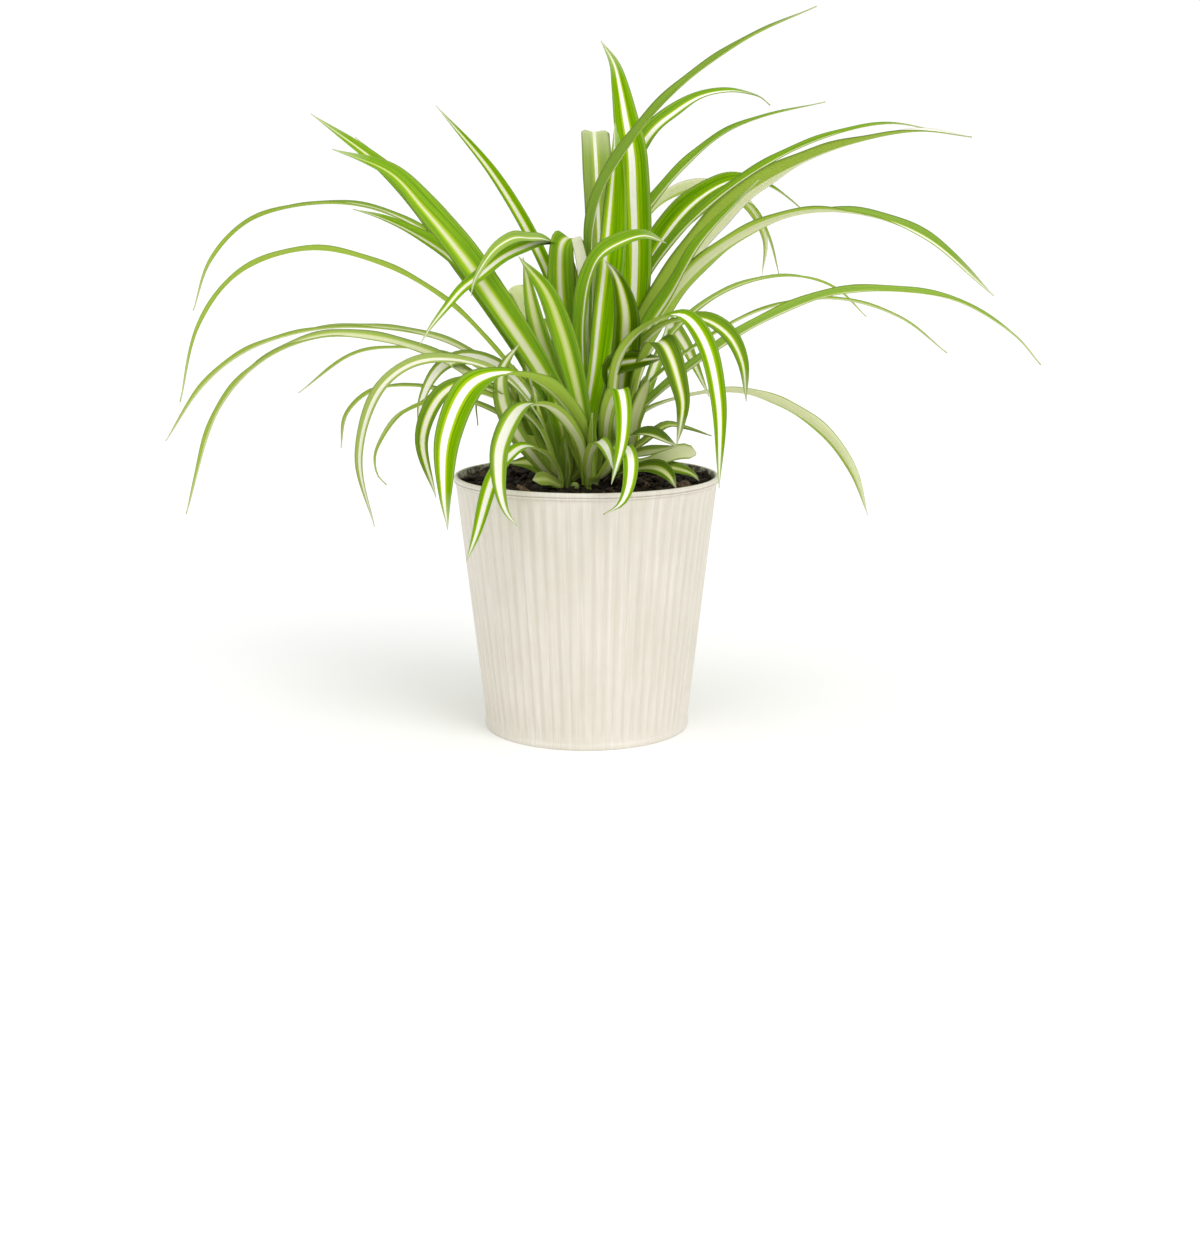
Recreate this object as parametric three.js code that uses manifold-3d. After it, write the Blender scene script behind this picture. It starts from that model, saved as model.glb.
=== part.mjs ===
// A spider plant in a cream pot of ribbed sheet metal: the pot, the soil that fills it, and four
// rooted clumps of striped, strap-shaped leaves that arch out and hang over the rim.
// Millimetres, +Z up. The origin is the middle of the pot's underside.

import * as THREE from 'three';
import { mergeVertices } from 'three/addons/utils/BufferGeometryUtils.js';
import Module from 'manifold-3d';

const wasm = await Module();
wasm.setup();

// Driving dimensions ------------------------------------------------------------------------------

const TOUCH_GAP = 0.3; // left between pieces that rest against each other
const CUT_MARGIN = 2; // how far a cutting body stands out past what it cuts
const WELD_DISTANCE = 1e-4;

const POT_HEIGHT = 136;
const RIM_RADIUS = 70;
const RIM_BAND_HEIGHT = 3.8;
const WALL_TOP_RADIUS = 69;
const FOOT_RADIUS = 55.3;
const FOOT_BAND_HEIGHT = 3.7;
const WALL_FOOT_RADIUS = 54.7;
const WALL_THICKNESS = 1.8;
const FLOOR_THICKNESS = 1.6;
const RIB_COUNT = 66;
const RIB_DEPTH = 0.9;
const COLUMNS_PER_RIB = 3; // one in the groove, two on the broad crest
const BAND_EDGE = 0.6; // rounding of the rim band and the foot band
const BAND_SIDES = 66;

const SOIL_LEVEL = 132;
const SOIL_LUMP = 1; // height of the broad lumps on the soil
const SOIL_CRUMB = 0.6; // height of the finer ones between them
const SOIL_RINGS = [10, 22, 34, 46, 57]; // radii of the rings of lumps on the soil
const SOIL_SIDES = 40;
const LUMP_LENGTHS = [5, 4]; // the waves of the lumps in x and y, over 2 pi
const LUMP_SHIFT = 1;
const CRUMB_LENGTHS = [3, 3.7];

const CROWN_SIDES = 10;
const CROWN_DEPTH = 14; // how far a crown stands in its hole in the soil
const CROWN_DOME = [[1, 8], [0.75, 18], [0.3, 26], [0, 26]]; // radius share and height above the soil
const ROOT_SPREAD = 0.55; // where a leaf leaves its crown, as a share of the crown's radius

const LEAF_THICKNESS = 0.8;
const LEAF_CHANNEL = 0.34; // rise of the edges over the midrib, per half width
const LEAF_STEP = 27; // distance between sections along a leaf
const FEWEST_SECTIONS = 4;
const MOST_SECTIONS = 12;
const LEAF_TIP_WIDTH = 1.0;
const RING_CORNERS = 6; // corners of a leaf's section

// Width along a leaf: share of its length, share of its full width.
const LEAF_OUTLINE = [
  [0, 0.6],
  [0.15, 0.68],
  [0.35, 0.88],
  [0.55, 1],
  [0.72, 0.89],
  [0.87, 0.54],
  [1, 0],
];

// Leaves ------------------------------------------------------------------------------------------
// Each row is one leaf: its full width, the turn of the blade about its own run at the root, the
// middle and the tip in degrees (0 lies face up), the height of its root above the soil, the
// points that it passes through after its root and, for a blunt leaf, the share of it cut off.

// The front clump: the upright fan in the middle, and the leaves that hang over the front and the
// left of the rim.
const FRONT_LEAVES = [
  [12, [-110, -118, -118], 16, [[0, -30, 158], [-5, -35, 186], [-12, -39, 213], [-20, -42, 233],
    [-33, -45, 249]]],
  [14, [15, 15, 15], 20, [[1, -20, 161], [6, -12, 191], [10, -6, 221], [13, 0, 246], [16, 12, 294],
    [15, 18, 315]]],
  [15, [30, -5, -70], 10, [[-3, -36, 163], [-19, -62, 187], [-37, -84, 195], [-53, -98, 190],
    [-64, -108, 168], [-66, -110, 143], [-65, -109, 125]]],
  [10, [30, 0, -70], 8, [[-4, -38, 158], [-17, -58, 176], [-29, -74, 179], [-35, -83, 174],
    [-41, -88, 161], [-42, -90, 149], [-41, -90, 138], [-38, -89, 129], [-33, -88, 123]]],
  [8, [20, 20, 20], 4, [[1, -36, 143], [3, -44, 153], [6, -50, 159], [10, -57, 156], [13, -62, 147]]],
  [8, [0, 0, -25], 4, [[7, -38, 139], [13, -50, 149], [18, -64, 158], [21, -78, 153],
    [19.5, -86, 141], [16, -87.5, 134], [8, -84, 128]]],
  [8, [-90, -95, -95], 6, [[-4, -31, 150], [-9, -34, 166], [-13, -35, 180]]],
  [8, [70, 70, 70], 6, [[3, -32, 150], [3, -36, 162], [3, -38, 172]]],
];

// The left clump: long low arches out to the left, the broad leaves that rise to the upper left,
// and short ones close to the soil.
const LEFT_LEAVES = [
  [9, [-45, -10, 5], 18, [[-26, -2, 180], [-40, 20, 210], [-74, 35, 251], [-110, 45, 271],
    [-143, 48, 275], [-180, 45, 266], [-201, 40, 245], [-211, 36, 219]]],
  [9, [10, 10, 10], 14, [[-20, -15, 166], [-46, -15, 201], [-69, -20, 225], [-98, -28, 243],
    [-135, -38, 252], [-169, -45, 241], [-189, -50, 216], [-200, -52, 179]]],
  [12, [-25, -15, 0], 10, [[-24, -15, 161], [-52, -10, 182], [-76, 0, 196], [-108, 10, 205],
    [-140, 18, 206], [-173, 25, 193], [-198, 28, 167], [-219, 28, 110]]],
  [10, [-15, -5, 5], 10, [[-30, -2, 163], [-46, 25, 184], [-72, 45, 200], [-103, 60, 207],
    [-149, 75, 207], [-191, 85, 195], [-219, 90, 175], [-244, 94, 142]]],
  [6, [10, 10, 10], 12, [[-29, -2, 162], [-47, 30, 180], [-73, 60, 193], [-106, 85, 196],
    [-135, 100, 191], [-169, 112, 168]]],
  [8, [0, 0, 0], 8, [[-26, -8, 153], [-46, 15, 165], [-72, 38, 173], [-95, 55, 177], [-120, 68, 173],
    [-136, 74, 159], [-140, 76, 140]]],
  [7, [-20, -40, -45], 10, [[-24, -30, 168], [-43, -38, 191], [-67, -45, 199], [-86, -50, 197],
    [-102, -54, 184], [-112, -56, 152], [-106, -54, 117]]],
  [9, [0, 10, 20], 6, [[-24, -30, 163], [-43, -45, 179], [-68, -52, 185], [-79, -58, 179],
    [-90, -66, 174], [-98, -71, 164], [-102, -74, 155], [-101, -75, 146], [-97, -74, 141]]],
  [9, [0, -20, -60], 8, [[-24, -30, 163], [-40, -48, 180], [-57, -62, 189], [-70, -72, 184],
    [-79, -77, 164], [-73, -76, 135]]],
  [8, [-60, -70, -80], 12, [[-26, -20, 172], [-44, -10, 192], [-63, -4, 197], [-76, 0, 191],
    [-86, 2, 174], [-88, 2, 156]]],
  [6, [-30, -50, -60], 10, [[-27, -6, 158], [-41, 20, 174], [-52, 35, 178], [-60, 45, 170],
    [-60, 48, 156]]],
  [8, [-30, -30, -20], 12, [[-24, -10, 163], [-40, 0, 186], [-53, 10, 195], [-69, 20, 196]]],
  [9, [-150, -150, -120], 4, [[-21, -30, 142], [-37, -48, 167], [-42, -54, 183], [-41, -56, 196],
    [-33, -54, 207]]],
  [15, [-75, -62, -35], 16, [[-7, -15, 161], [-21, -14, 189], [-42, -10, 221], [-63, -2, 250],
    [-83, 6, 273], [-100, 12, 290], [-131, 20, 302]]],
  [10, [-65, -60, -50], 18, [[-20, -9, 168], [-30, 4, 192], [-48, 10, 220], [-67, 18, 246],
    [-86, 26, 272], [-106, 32, 293], [-145, 42, 321]]],
  [8, [0, -20, -36], 4, [[-15, -30, 142], [-22, -44, 153], [-31, -56, 157], [-38, -65, 153],
    [-45, -70, 144], [-54, -73, 116], [-59, -73, 103]]],
  [8, [-60, -60, -60], 2, [[-14, -30, 134], [-20, -37, 138], [-27, -44, 139]], 0.15],
  [9, [-40, -50, -50], 2, [[-20, -6, 137], [-28, 2, 141], [-41, 12, 140]]],
  [10, [-45, -40, -30], 14, [[-26, -8, 178], [-34, 2, 206], [-45, 4, 225], [-60, 8, 239],
    [-73, 12, 250], [-88, 18, 259], [-106, 26, 267], [-123, 32, 272]]],
  [9, [-90, -90, -90], 4, [[-22, -13, 152], [-30, -15, 168], [-36, -16, 184]]],
  [9, [-90, -90, -90], 2, [[-17, -19, 150], [-23, -26, 166], [-26, -30, 180]]],
  [13, [-47, -47, -47], 4, [[-19, -17, 147], [-27, -11, 162], [-34, -5, 180], [-38, 0, 193]]],
  [12, [-20, -20, -20], 4, [[-11, -18, 152], [-15, -15, 172], [-18, -14, 192]]],
  [11, [-80, -80, -80], 4, [[-18, -24, 148], [-23, -24, 166], [-27, -22, 184]]],
  [14, [-90, -90, -90], 2, [[-7, -25, 143], [-8, -24, 157], [-9, -22, 171]]],
  [13, [0, 0, 0], 2, [[-5, -16, 138], [-5, -14, 155], [-6, -12, 172]]],
];

// The right clump: striped leaves that arch to the right and hang in front, short ones close to
// the soil, and long low arches out to the right.
const RIGHT_LEAVES = [
  [9, [0, 0, 0], 10, [[10, -22, 153], [11, -40, 174], [16, -56, 185], [18, -68, 176], [17, -76, 161],
    [12, -80, 142]]],
  [14, [185, 185, 185], 16, [[16, -18, 166], [18, -24, 187], [20, -36, 208], [20, -44, 222],
    [17, -51, 235], [13, -55, 243], [9, -58, 247]]],
  [10, [0, 15, 30], 16, [[14, -25, 167], [17, -38, 199], [31, -52, 216], [46, -62, 221],
    [56, -70, 210], [63, -77, 182], [64, -80, 140]]],
  [11, [-40, 0, 60], 16, [[15, -10, 176], [27, -24, 202], [41, -38, 216], [56, -48, 219],
    [69, -56, 212], [76, -60, 199], [78, -62, 180]]],
  [12, [70, 20, 18], 12, [[24, -14, 155], [25, -20, 177], [28, -28, 192], [32, -42, 203],
    [35, -54, 208], [38, -64, 207], [41, -71, 201], [44, -77, 191], [46, -80, 181], [45, -82, 171],
    [43, -83, 161]]],
  [8, [110, 110, 110], 8, [[24, -18, 156], [25, -22, 167], [28, -24, 177], [32, -24, 187]], 0.15],
  [13, [40, 70, 90], 14, [[13, -17, 164], [13, -25, 183], [12, -27, 192], [18, -31, 196],
    [27, -36, 198], [34, -40, 199], [39, -42, 200]]],
  [13, [15, 15, 15], 6, [[13, -24, 146], [21, -36, 159], [32, -46, 162], [45, -54, 157]]],
  [11, [30, 30, 30], 4, [[15, -22, 142], [25, -30, 149], [35, -38, 152], [45, -46, 156]]],
  [9, [60, 60, 60], 4, [[20, -11, 140], [34, -13, 143], [42, -14, 147], [50, -14, 149],
    [57, -14, 148]], 0.25],
  [8, [20, 15, 10], 6, [[19, 0, 143], [31, 4, 152], [43, 8, 160], [54, 12, 158], [67, 16, 154]]],
  [11, [30, 30, 30], 2, [[16, -20, 138], [24, -26, 141], [31, -31, 143], [37, -36, 143],
    [42, -42, 140], [45, -46, 135]]],
  [7, [40, 40, 60], 2, [[20, -12, 137], [34, -14, 141], [46, -18, 141], [55, -22, 138.5],
    [58, -24, 135.5]]],
  [10, [60, 95, 110], 14, [[31, 1, 180], [40, 19, 202], [45, 42, 211], [53, 52, 201], [60, 60, 188],
    [69, 66, 170]]],
  [10, [0, -20, -40], 8, [[17, 0, 154], [31, 12, 167], [56, 30, 174], [85, 48, 174], [111, 62, 165],
    [135, 72, 149], [153, 78, 126], [163, 80, 100]]],
  [9, [55, 30, -5], 10, [[12, -10, 152], [33, -14, 176], [58, -20, 197], [87, -28, 216],
    [121, -36, 230], [155, -42, 232], [183, -48, 227], [210, -52, 211], [223, -54, 197]]],
  [7, [20, 0, -8], 12, [[13, 0, 154], [33, 0, 183], [59, -2, 204], [90, -4, 221], [127, -8, 227],
    [160, -12, 218], [185, -14, 200]]],
  [6, [20, 10, 0], 16, [[27, 5, 168], [42, 32, 201], [65, 50, 222], [90, 64, 233], [117, 76, 236],
    [141, 86, 229], [160, 92, 213]]],
  [9, [80, 80, 80], 4, [[21, -4, 154], [26, -8, 172], [30, -10, 188]]],
  [9, [80, 80, 80], 2, [[16, -8, 152], [19, -14, 170], [21, -18, 186]]],
];

// The back clump: the tall leaves, the long ones that rise to the upper right, the folded ones
// over the middle, and those that fall away behind.
const BACK_LEAVES = [
  [11, [140, 140, 140], 16, [[-12, 30, 161], [-25, 50, 197], [-36, 66, 226], [-41, 76, 230],
    [-46, 86, 223], [-49, 92, 206]]],
  [7, [-65, -65, -60], 18, [[-3, 20, 174], [-12, 30, 216], [-24, 38, 248], [-49, 50, 290],
    [-80, 54, 326]]],
  [8, [-70, -70, -55], 18, [[-6, 28, 157], [-22, 36, 186], [-43, 42, 220], [-64, 48, 250],
    [-86, 52, 275], [-124, 56, 310]]],
  [10, [-120, -125, -130], 16, [[-6, 0, 159], [-18, -4, 191], [-26, -8, 216], [-32, -10, 248]]],
  [9, [20, -20, -60], 18, [[-6, 34, 225], [-10, 32, 244], [-15, 26, 252], [-21, 14, 256],
    [-29, -4, 257], [-37, -22, 257], [-45, -35, 252], [-51, -44, 244], [-55, -49, 236],
    [-56, -52, 230]]],
  [9, [10, -30, -45], 16, [[-4, 40, 225], [-11, 38, 245], [-16, 32, 252], [-21, 18, 255],
    [-33, -8, 252], [-43, -24, 247], [-53, -34, 239], [-61, -41, 233], [-68, -47, 225],
    [-76, -53, 215], [-81, -57, 207]]],
  [16, [20, 20, 20], 18, [[-5, 8, 172], [-11, 9, 195], [-13, 11, 221], [-14, 13, 241], [-13, 17, 254],
    [-9, 24, 257], [-4, 32, 252], [0, 38, 240]]],
  [16, [0, 0, 0], 20, [[8, 25, 230], [7, 26, 251], [6, 27, 274], [5, 29, 297], [4, 33, 313]], 0.35],
  [6, [200, 200, 200], 18, [[1, 12, 190], [-1, 3, 211], [-1, 2, 231], [-2, 3, 245], [-5, 5, 258]], 0.3],
  [13, [105, 85, 70], 16, [[-2, -6, 196], [-2, -9, 214], [1, -12, 236], [7, -14, 249], [18, -17, 256],
    [30, -21, 259], [40, -25, 255]]],
  [18, [10, 10, 10], 20, [[19, 30, 172], [24, 32, 204], [26, 35, 245], [25, 40, 278], [24, 44, 301],
    [21, 48, 318], [18, 51, 335], [15, 53, 347], [8, 55, 359]]],
  [14, [-85, -20, 45], 14, [[17, 10, 174], [33, 4, 208], [53, -4, 237], [78, -14, 257],
    [106, -24, 269], [135, -32, 269], [166, -40, 258], [200, -46, 230]]],
  [15, [-90, -60, 30], 16, [[15, 30, 178], [32, 31, 215], [54, 29, 248], [81, 24, 277],
    [111, 22, 295], [142, 20, 306], [172, 18, 311], [199, 16, 308]]],
  [9, [40, 20, 10], 18, [[13, 34, 182], [25, 42, 222], [44, 50, 252], [70, 58, 277], [106, 66, 300],
    [139, 72, 313], [167, 76, 318], [192, 80, 315]]],
  [12, [60, 50, 30], 14, [[15, -4, 175], [30, -6, 209], [44, -8, 231], [58, -10, 255], [87, -10, 286]]],
  [13, [50, 45, 20], 16, [[12, 40, 182], [23, 54, 221], [38, 68, 253], [58, 82, 276], [84, 98, 289],
    [106, 110, 285], [127, 116, 271]]],
  [9, [30, 20, 20], 14, [[11, 50, 181], [24, 68, 223], [47, 88, 256], [74, 106, 276], [93, 118, 276],
    [106, 126, 258], [114, 130, 235]]],
  [9, [-90, -80, -30], 12, [[10, 56, 186], [19, 76, 231], [37, 98, 272], [66, 118, 286],
    [93, 132, 277], [106, 140, 256], [105, 144, 234]]],
  [9, [40, 20, 0], 20, [[7, 30, 183], [9, 31, 212], [14, 36, 236], [26, 44, 262], [42, 54, 283],
    [60, 66, 301], [78, 75, 314], [98, 80, 322], [132, 84, 330]]],
  [14, [60, 30, 20], 20, [[7, 38, 209], [11, 44, 240], [17, 50, 272], [26, 55, 298], [36, 58, 313],
    [47, 61, 322], [62, 64, 331], [77, 66, 334], [88, 67, 333], [95, 68, 331], [100, 68, 327]]],
  [13, [35, 40, 10], 20, [[3, 10, 180], [3, 8, 211], [3, 7, 236], [3, 4, 261], [8, 1, 281],
    [19, -3, 299], [33, -6, 317], [51, -9, 334], [71, -12, 348], [85, -14, 356], [113, -16, 368]]],
  [12, [0, 0, 0], 12, [[-8, 44, 172], [-22, 78, 204], [-30, 116, 208], [-34, 146, 184],
    [-34, 160, 140]]],
  [13, [10, 5, 0], 10, [[4, 50, 170], [4, 90, 196], [0, 128, 190], [-4, 154, 158], [-6, 162, 118]]],
  [11, [0, 5, 10], 8, [[14, 44, 160], [22, 76, 178], [26, 104, 172], [28, 122, 146], [28, 126, 112]]],
  [10, [0, 0, 0], 6, [[-10, 40, 152], [-22, 62, 166], [-28, 84, 162], [-32, 98, 138], [-34, 100, 108]]],
  [9, [0, 0, 0], 4, [[2, 44, 144], [0, 62, 154], [-2, 82, 150], [-4, 92, 128]]],
];

const CLUMPS = [
  { name: 'front_leaf_clump', x: 2.5, y: -28, radius: 6.5, leaves: FRONT_LEAVES },
  { name: 'left_leaf_clump', x: -12.5, y: -24, radius: 6.5, leaves: LEFT_LEAVES },
  { name: 'right_leaf_clump', x: 18, y: -6, radius: 6.5, leaves: RIGHT_LEAVES },
  { name: 'back_leaf_clump', x: 3, y: 22, radius: 7.5, leaves: BACK_LEAVES },
];

// Materials ---------------------------------------------------------------------------------------

const potPaint = new THREE.MeshStandardMaterial({ color: 0xe8e4d8, roughness: 0.5, metalness: 0 });
const darkSoil = new THREE.MeshStandardMaterial({ color: 0x2c241b, roughness: 1, metalness: 0 });
const leafGreen = new THREE.MeshStandardMaterial({ color: 0x6f9c22, roughness: 0.55, metalness: 0 });

// Solids ------------------------------------------------------------------------------------------

function toSolid(geometry) {
  const bare = geometry.clone();
  bare.deleteAttribute('normal');
  bare.deleteAttribute('uv');
  const merged = mergeVertices(bare, WELD_DISTANCE);
  return new wasm.Manifold(new wasm.Mesh({
    numProp: 3,
    vertProperties: new Float32Array(merged.attributes.position.array),
    triVerts: new Uint32Array(merged.index.array),
  }));
}

function toGeometry(solid) {
  const mesh = solid.getMesh();
  const geometry = new THREE.BufferGeometry();
  geometry.setAttribute('position', new THREE.BufferAttribute(mesh.vertProperties, 3));
  geometry.setIndex(new THREE.BufferAttribute(mesh.triVerts, 1));
  geometry.computeVertexNormals();
  return geometry;
}

// Turns a profile of [radius, height] points about the Z axis.
function lathe(profile, sides) {
  const points = profile.map(([radius, height]) => new THREE.Vector2(radius, height));
  return new THREE.LatheGeometry(points, sides).rotateX(Math.PI / 2);
}

// Pot ---------------------------------------------------------------------------------------------

// Radius of the rib crests at a height.
function wallRadius(z) {
  const share = (z - FOOT_BAND_HEIGHT) / (POT_HEIGHT - RIM_BAND_HEIGHT - FOOT_BAND_HEIGHT);
  return THREE.MathUtils.lerp(WALL_FOOT_RADIUS, WALL_TOP_RADIUS, share);
}

// The ribbed wall, as a full cone whose ends are hidden in the two bands.
function ribbedWall() {
  const low = FOOT_BAND_HEIGHT / 2;
  const high = POT_HEIGHT - RIM_BAND_HEIGHT / 2;
  const profile = [[0, low], [wallRadius(low), low], [wallRadius(high), high], [0, high]];
  const geometry = lathe(profile, RIB_COUNT * COLUMNS_PER_RIB);
  const position = geometry.attributes.position;
  const columnAngle = (2 * Math.PI) / (RIB_COUNT * COLUMNS_PER_RIB);
  for (let i = 0; i < position.count; i++) {
    const x = position.getX(i);
    const y = position.getY(i);
    const radius = Math.hypot(x, y);
    const column = Math.round(Math.atan2(y, x) / columnAngle);
    const inGroove = (column + RIB_COUNT * COLUMNS_PER_RIB) % COLUMNS_PER_RIB === 0;
    if (radius > RIB_DEPTH && inGroove) {
      const shrink = (radius - RIB_DEPTH) / radius;
      position.setX(i, x * shrink);
      position.setY(i, y * shrink);
    }
  }
  return toSolid(geometry);
}

function footBand() {
  return toSolid(lathe([
    [0, 0],
    [FOOT_RADIUS - BAND_EDGE, 0],
    [FOOT_RADIUS, BAND_EDGE],
    [FOOT_RADIUS, FOOT_BAND_HEIGHT - BAND_EDGE / 2],
    [FOOT_RADIUS - BAND_EDGE / 2, FOOT_BAND_HEIGHT],
    [0, FOOT_BAND_HEIGHT],
  ], BAND_SIDES));
}

function rimBand() {
  const low = POT_HEIGHT - RIM_BAND_HEIGHT;
  return toSolid(lathe([
    [0, low],
    [RIM_RADIUS - BAND_EDGE, low],
    [RIM_RADIUS, low + BAND_EDGE],
    [RIM_RADIUS, POT_HEIGHT - BAND_EDGE],
    [RIM_RADIUS - BAND_EDGE, POT_HEIGHT],
    [0, POT_HEIGHT],
  ], BAND_SIDES));
}

function cavityRadius(z) {
  return wallRadius(z) - WALL_THICKNESS;
}

function potCavity() {
  const high = POT_HEIGHT + CUT_MARGIN;
  return toSolid(lathe([
    [0, FLOOR_THICKNESS],
    [cavityRadius(FLOOR_THICKNESS), FLOOR_THICKNESS],
    [cavityRadius(high), high],
    [0, high],
  ], BAND_SIDES));
}

function makePot() {
  const outside = ribbedWall().add(footBand()).add(rimBand());
  const mesh = new THREE.Mesh(toGeometry(outside.subtract(potCavity())), potPaint);
  mesh.name = 'pot';
  return mesh;
}

// Soil --------------------------------------------------------------------------------------------

// Height of the lumpy top of the soil at a point.
function soilHeight(x, y) {
  const lump = Math.sin(x / LUMP_LENGTHS[0] + LUMP_SHIFT) * Math.cos(y / LUMP_LENGTHS[1]);
  const crumb = Math.sin(x / CRUMB_LENGTHS[0] - y / CRUMB_LENGTHS[1]);
  return SOIL_LEVEL + SOIL_LUMP * lump + SOIL_CRUMB * crumb;
}

function makeSoil() {
  const low = FLOOR_THICKNESS + TOUCH_GAP;
  const edge = cavityRadius(SOIL_LEVEL) - TOUCH_GAP;
  const profile = [[0, low], [cavityRadius(low) - TOUCH_GAP, low], [edge, SOIL_LEVEL]];
  for (const radius of [...SOIL_RINGS].reverse()) {
    profile.push([radius, SOIL_LEVEL]);
  }
  profile.push([0, SOIL_LEVEL]);
  const geometry = lathe(profile, SOIL_SIDES);
  const position = geometry.attributes.position;
  const lastRing = SOIL_RINGS.at(-1) + TOUCH_GAP;
  for (let i = 0; i < position.count; i++) {
    const x = position.getX(i);
    const y = position.getY(i);
    const onTop = position.getZ(i) > SOIL_LEVEL - TOUCH_GAP;
    if (onTop && Math.hypot(x, y) < lastRing) {
      position.setZ(i, soilHeight(x, y));
    }
  }
  let soil = toSolid(geometry);
  for (const clump of CLUMPS) {
    soil = soil.subtract(crownSolid(clump, TOUCH_GAP));
  }
  const mesh = new THREE.Mesh(toGeometry(soil), darkSoil);
  mesh.name = 'soil';
  return mesh;
}

// Leaves ------------------------------------------------------------------------------------------

// The rooted base of a clump: straight-sided in the soil, domed where the leaves leave it.
function crownSolid(clump, grow = 0) {
  const radius = clump.radius + grow;
  const geometry = lathe([
    [0, SOIL_LEVEL - CROWN_DEPTH - grow],
    [radius, SOIL_LEVEL - CROWN_DEPTH - grow],
    ...CROWN_DOME.map(([share, rise]) => [radius * share, SOIL_LEVEL + rise]),
  ], CROWN_SIDES);
  return toSolid(geometry.translate(clump.x, clump.y, 0));
}

function leafWidthShare(t) {
  const last = LEAF_OUTLINE.findIndex(([share]) => share >= t);
  if (last <= 0) {
    return LEAF_OUTLINE[0][1];
  }
  const [t0, w0] = LEAF_OUTLINE[last - 1];
  const [t1, w1] = LEAF_OUTLINE[last];
  return THREE.MathUtils.lerp(w0, w1, (t - t0) / (t1 - t0));
}

function turnAt([root, middle, tip], t) {
  return t < 0.5 ? THREE.MathUtils.lerp(root, middle, t * 2) : THREE.MathUtils.lerp(middle, tip, t * 2 - 1);
}

// One leaf: a channelled strap with its edges raised over the midrib, swept along its points.
function leafSolid(clump, [width, turns, rootHeight, points, cut = 0]) {
  const first = new THREE.Vector3(...points[0]);
  const tip = new THREE.Vector3(...points.at(-1));
  const centre = new THREE.Vector3(clump.x, clump.y, SOIL_LEVEL + rootHeight);
  const outward = first.clone().sub(centre).setZ(0);
  outward.setLength(Math.min(outward.length(), clump.radius * ROOT_SPREAD));
  const root = centre.clone().add(outward);
  const curve = new THREE.CatmullRomCurve3(
    [root, ...points.map((point) => new THREE.Vector3(...point))], false, 'centripetal');

  const heading = tip.sub(root).setZ(0).normalize();
  const level = new THREE.Vector3(0, 0, 1).cross(heading);
  const steps = THREE.MathUtils.clamp(Math.round(curve.getLength() / LEAF_STEP),
    FEWEST_SECTIONS, MOST_SECTIONS);
  const corners = [];
  for (let i = 0; i <= steps; i++) {
    const t = i / steps;
    const place = curve.getPointAt(t);
    const along = curve.getTangentAt(t);
    const side = level.clone().addScaledVector(along, -level.dot(along)).normalize();
    side.applyAxisAngle(along, THREE.MathUtils.degToRad(turnAt(turns, t)));
    const face = along.clone().cross(side);
    const half = Math.max(width * leafWidthShare(t * (1 - cut)), LEAF_TIP_WIDTH) / 2;
    const rise = half * LEAF_CHANNEL;
    for (const [across, lift] of [
      [half, rise + LEAF_THICKNESS / 2],
      [0, LEAF_THICKNESS / 2],
      [-half, rise + LEAF_THICKNESS / 2],
      [-half, rise - LEAF_THICKNESS / 2],
      [0, -LEAF_THICKNESS / 2],
      [half, rise - LEAF_THICKNESS / 2],
    ]) {
      corners.push(place.clone().addScaledVector(side, across).addScaledVector(face, lift));
    }
  }
  return toSolid(sweptGeometry(corners, steps));
}

// Joins rings of six corners: three along the upper face, then three back along the lower face.
// Each pair of facing quads is split along the same diagonal.
function sweptGeometry(corners, steps) {
  const index = [];
  const leftSplit = [true, false, false, false, true, false];
  for (let i = 0; i < steps; i++) {
    for (let k = 0; k < RING_CORNERS; k++) {
      const a = i * RING_CORNERS + k;
      const b = i * RING_CORNERS + ((k + 1) % RING_CORNERS);
      const c = a + RING_CORNERS;
      const d = b + RING_CORNERS;
      if (leftSplit[k]) {
        index.push(a, b, c, b, d, c);
      } else {
        index.push(a, b, d, a, d, c);
      }
    }
  }
  const end = steps * RING_CORNERS;
  index.push(0, 5, 4, 0, 4, 1, 1, 4, 3, 1, 3, 2);
  index.push(end, end + 4, end + 5, end, end + 1, end + 4);
  index.push(end + 1, end + 3, end + 4, end + 1, end + 2, end + 3);
  const geometry = new THREE.BufferGeometry();
  geometry.setAttribute('position',
    new THREE.Float32BufferAttribute(corners.flatMap((corner) => corner.toArray()), 3));
  geometry.setIndex(index);
  return geometry;
}

// Keeps the outer body of a fused solid, with the pockets between its leaves filled.
function outerBody(solid) {
  const bodies = solid.decompose();
  bodies.sort((one, other) => other.volume() - one.volume());
  return bodies[0];
}

function makeClump(clump) {
  let solid = crownSolid(clump);
  for (const leaf of clump.leaves) {
    solid = solid.add(leafSolid(clump, leaf));
  }
  const mesh = new THREE.Mesh(toGeometry(outerBody(solid)), leafGreen);
  mesh.name = clump.name;
  return mesh;
}

// Assembly ----------------------------------------------------------------------------------------

const plant = new THREE.Group();
plant.add(makePot());
plant.add(makeSoil());
for (const clump of CLUMPS) {
  plant.add(makeClump(clump));
}

export default plant;
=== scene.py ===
"""The looks of a potted spider plant: striped leaves, a ribbed cream pot and dark, chunky soil.

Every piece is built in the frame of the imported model. Lengths are in millimetres, unless a comment
says metres, and make_piece turns them into metres. The leaf rows repeat the ones of the model's
source, so that each fine leaf lies on its plain solid.
"""

import math
import random

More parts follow.
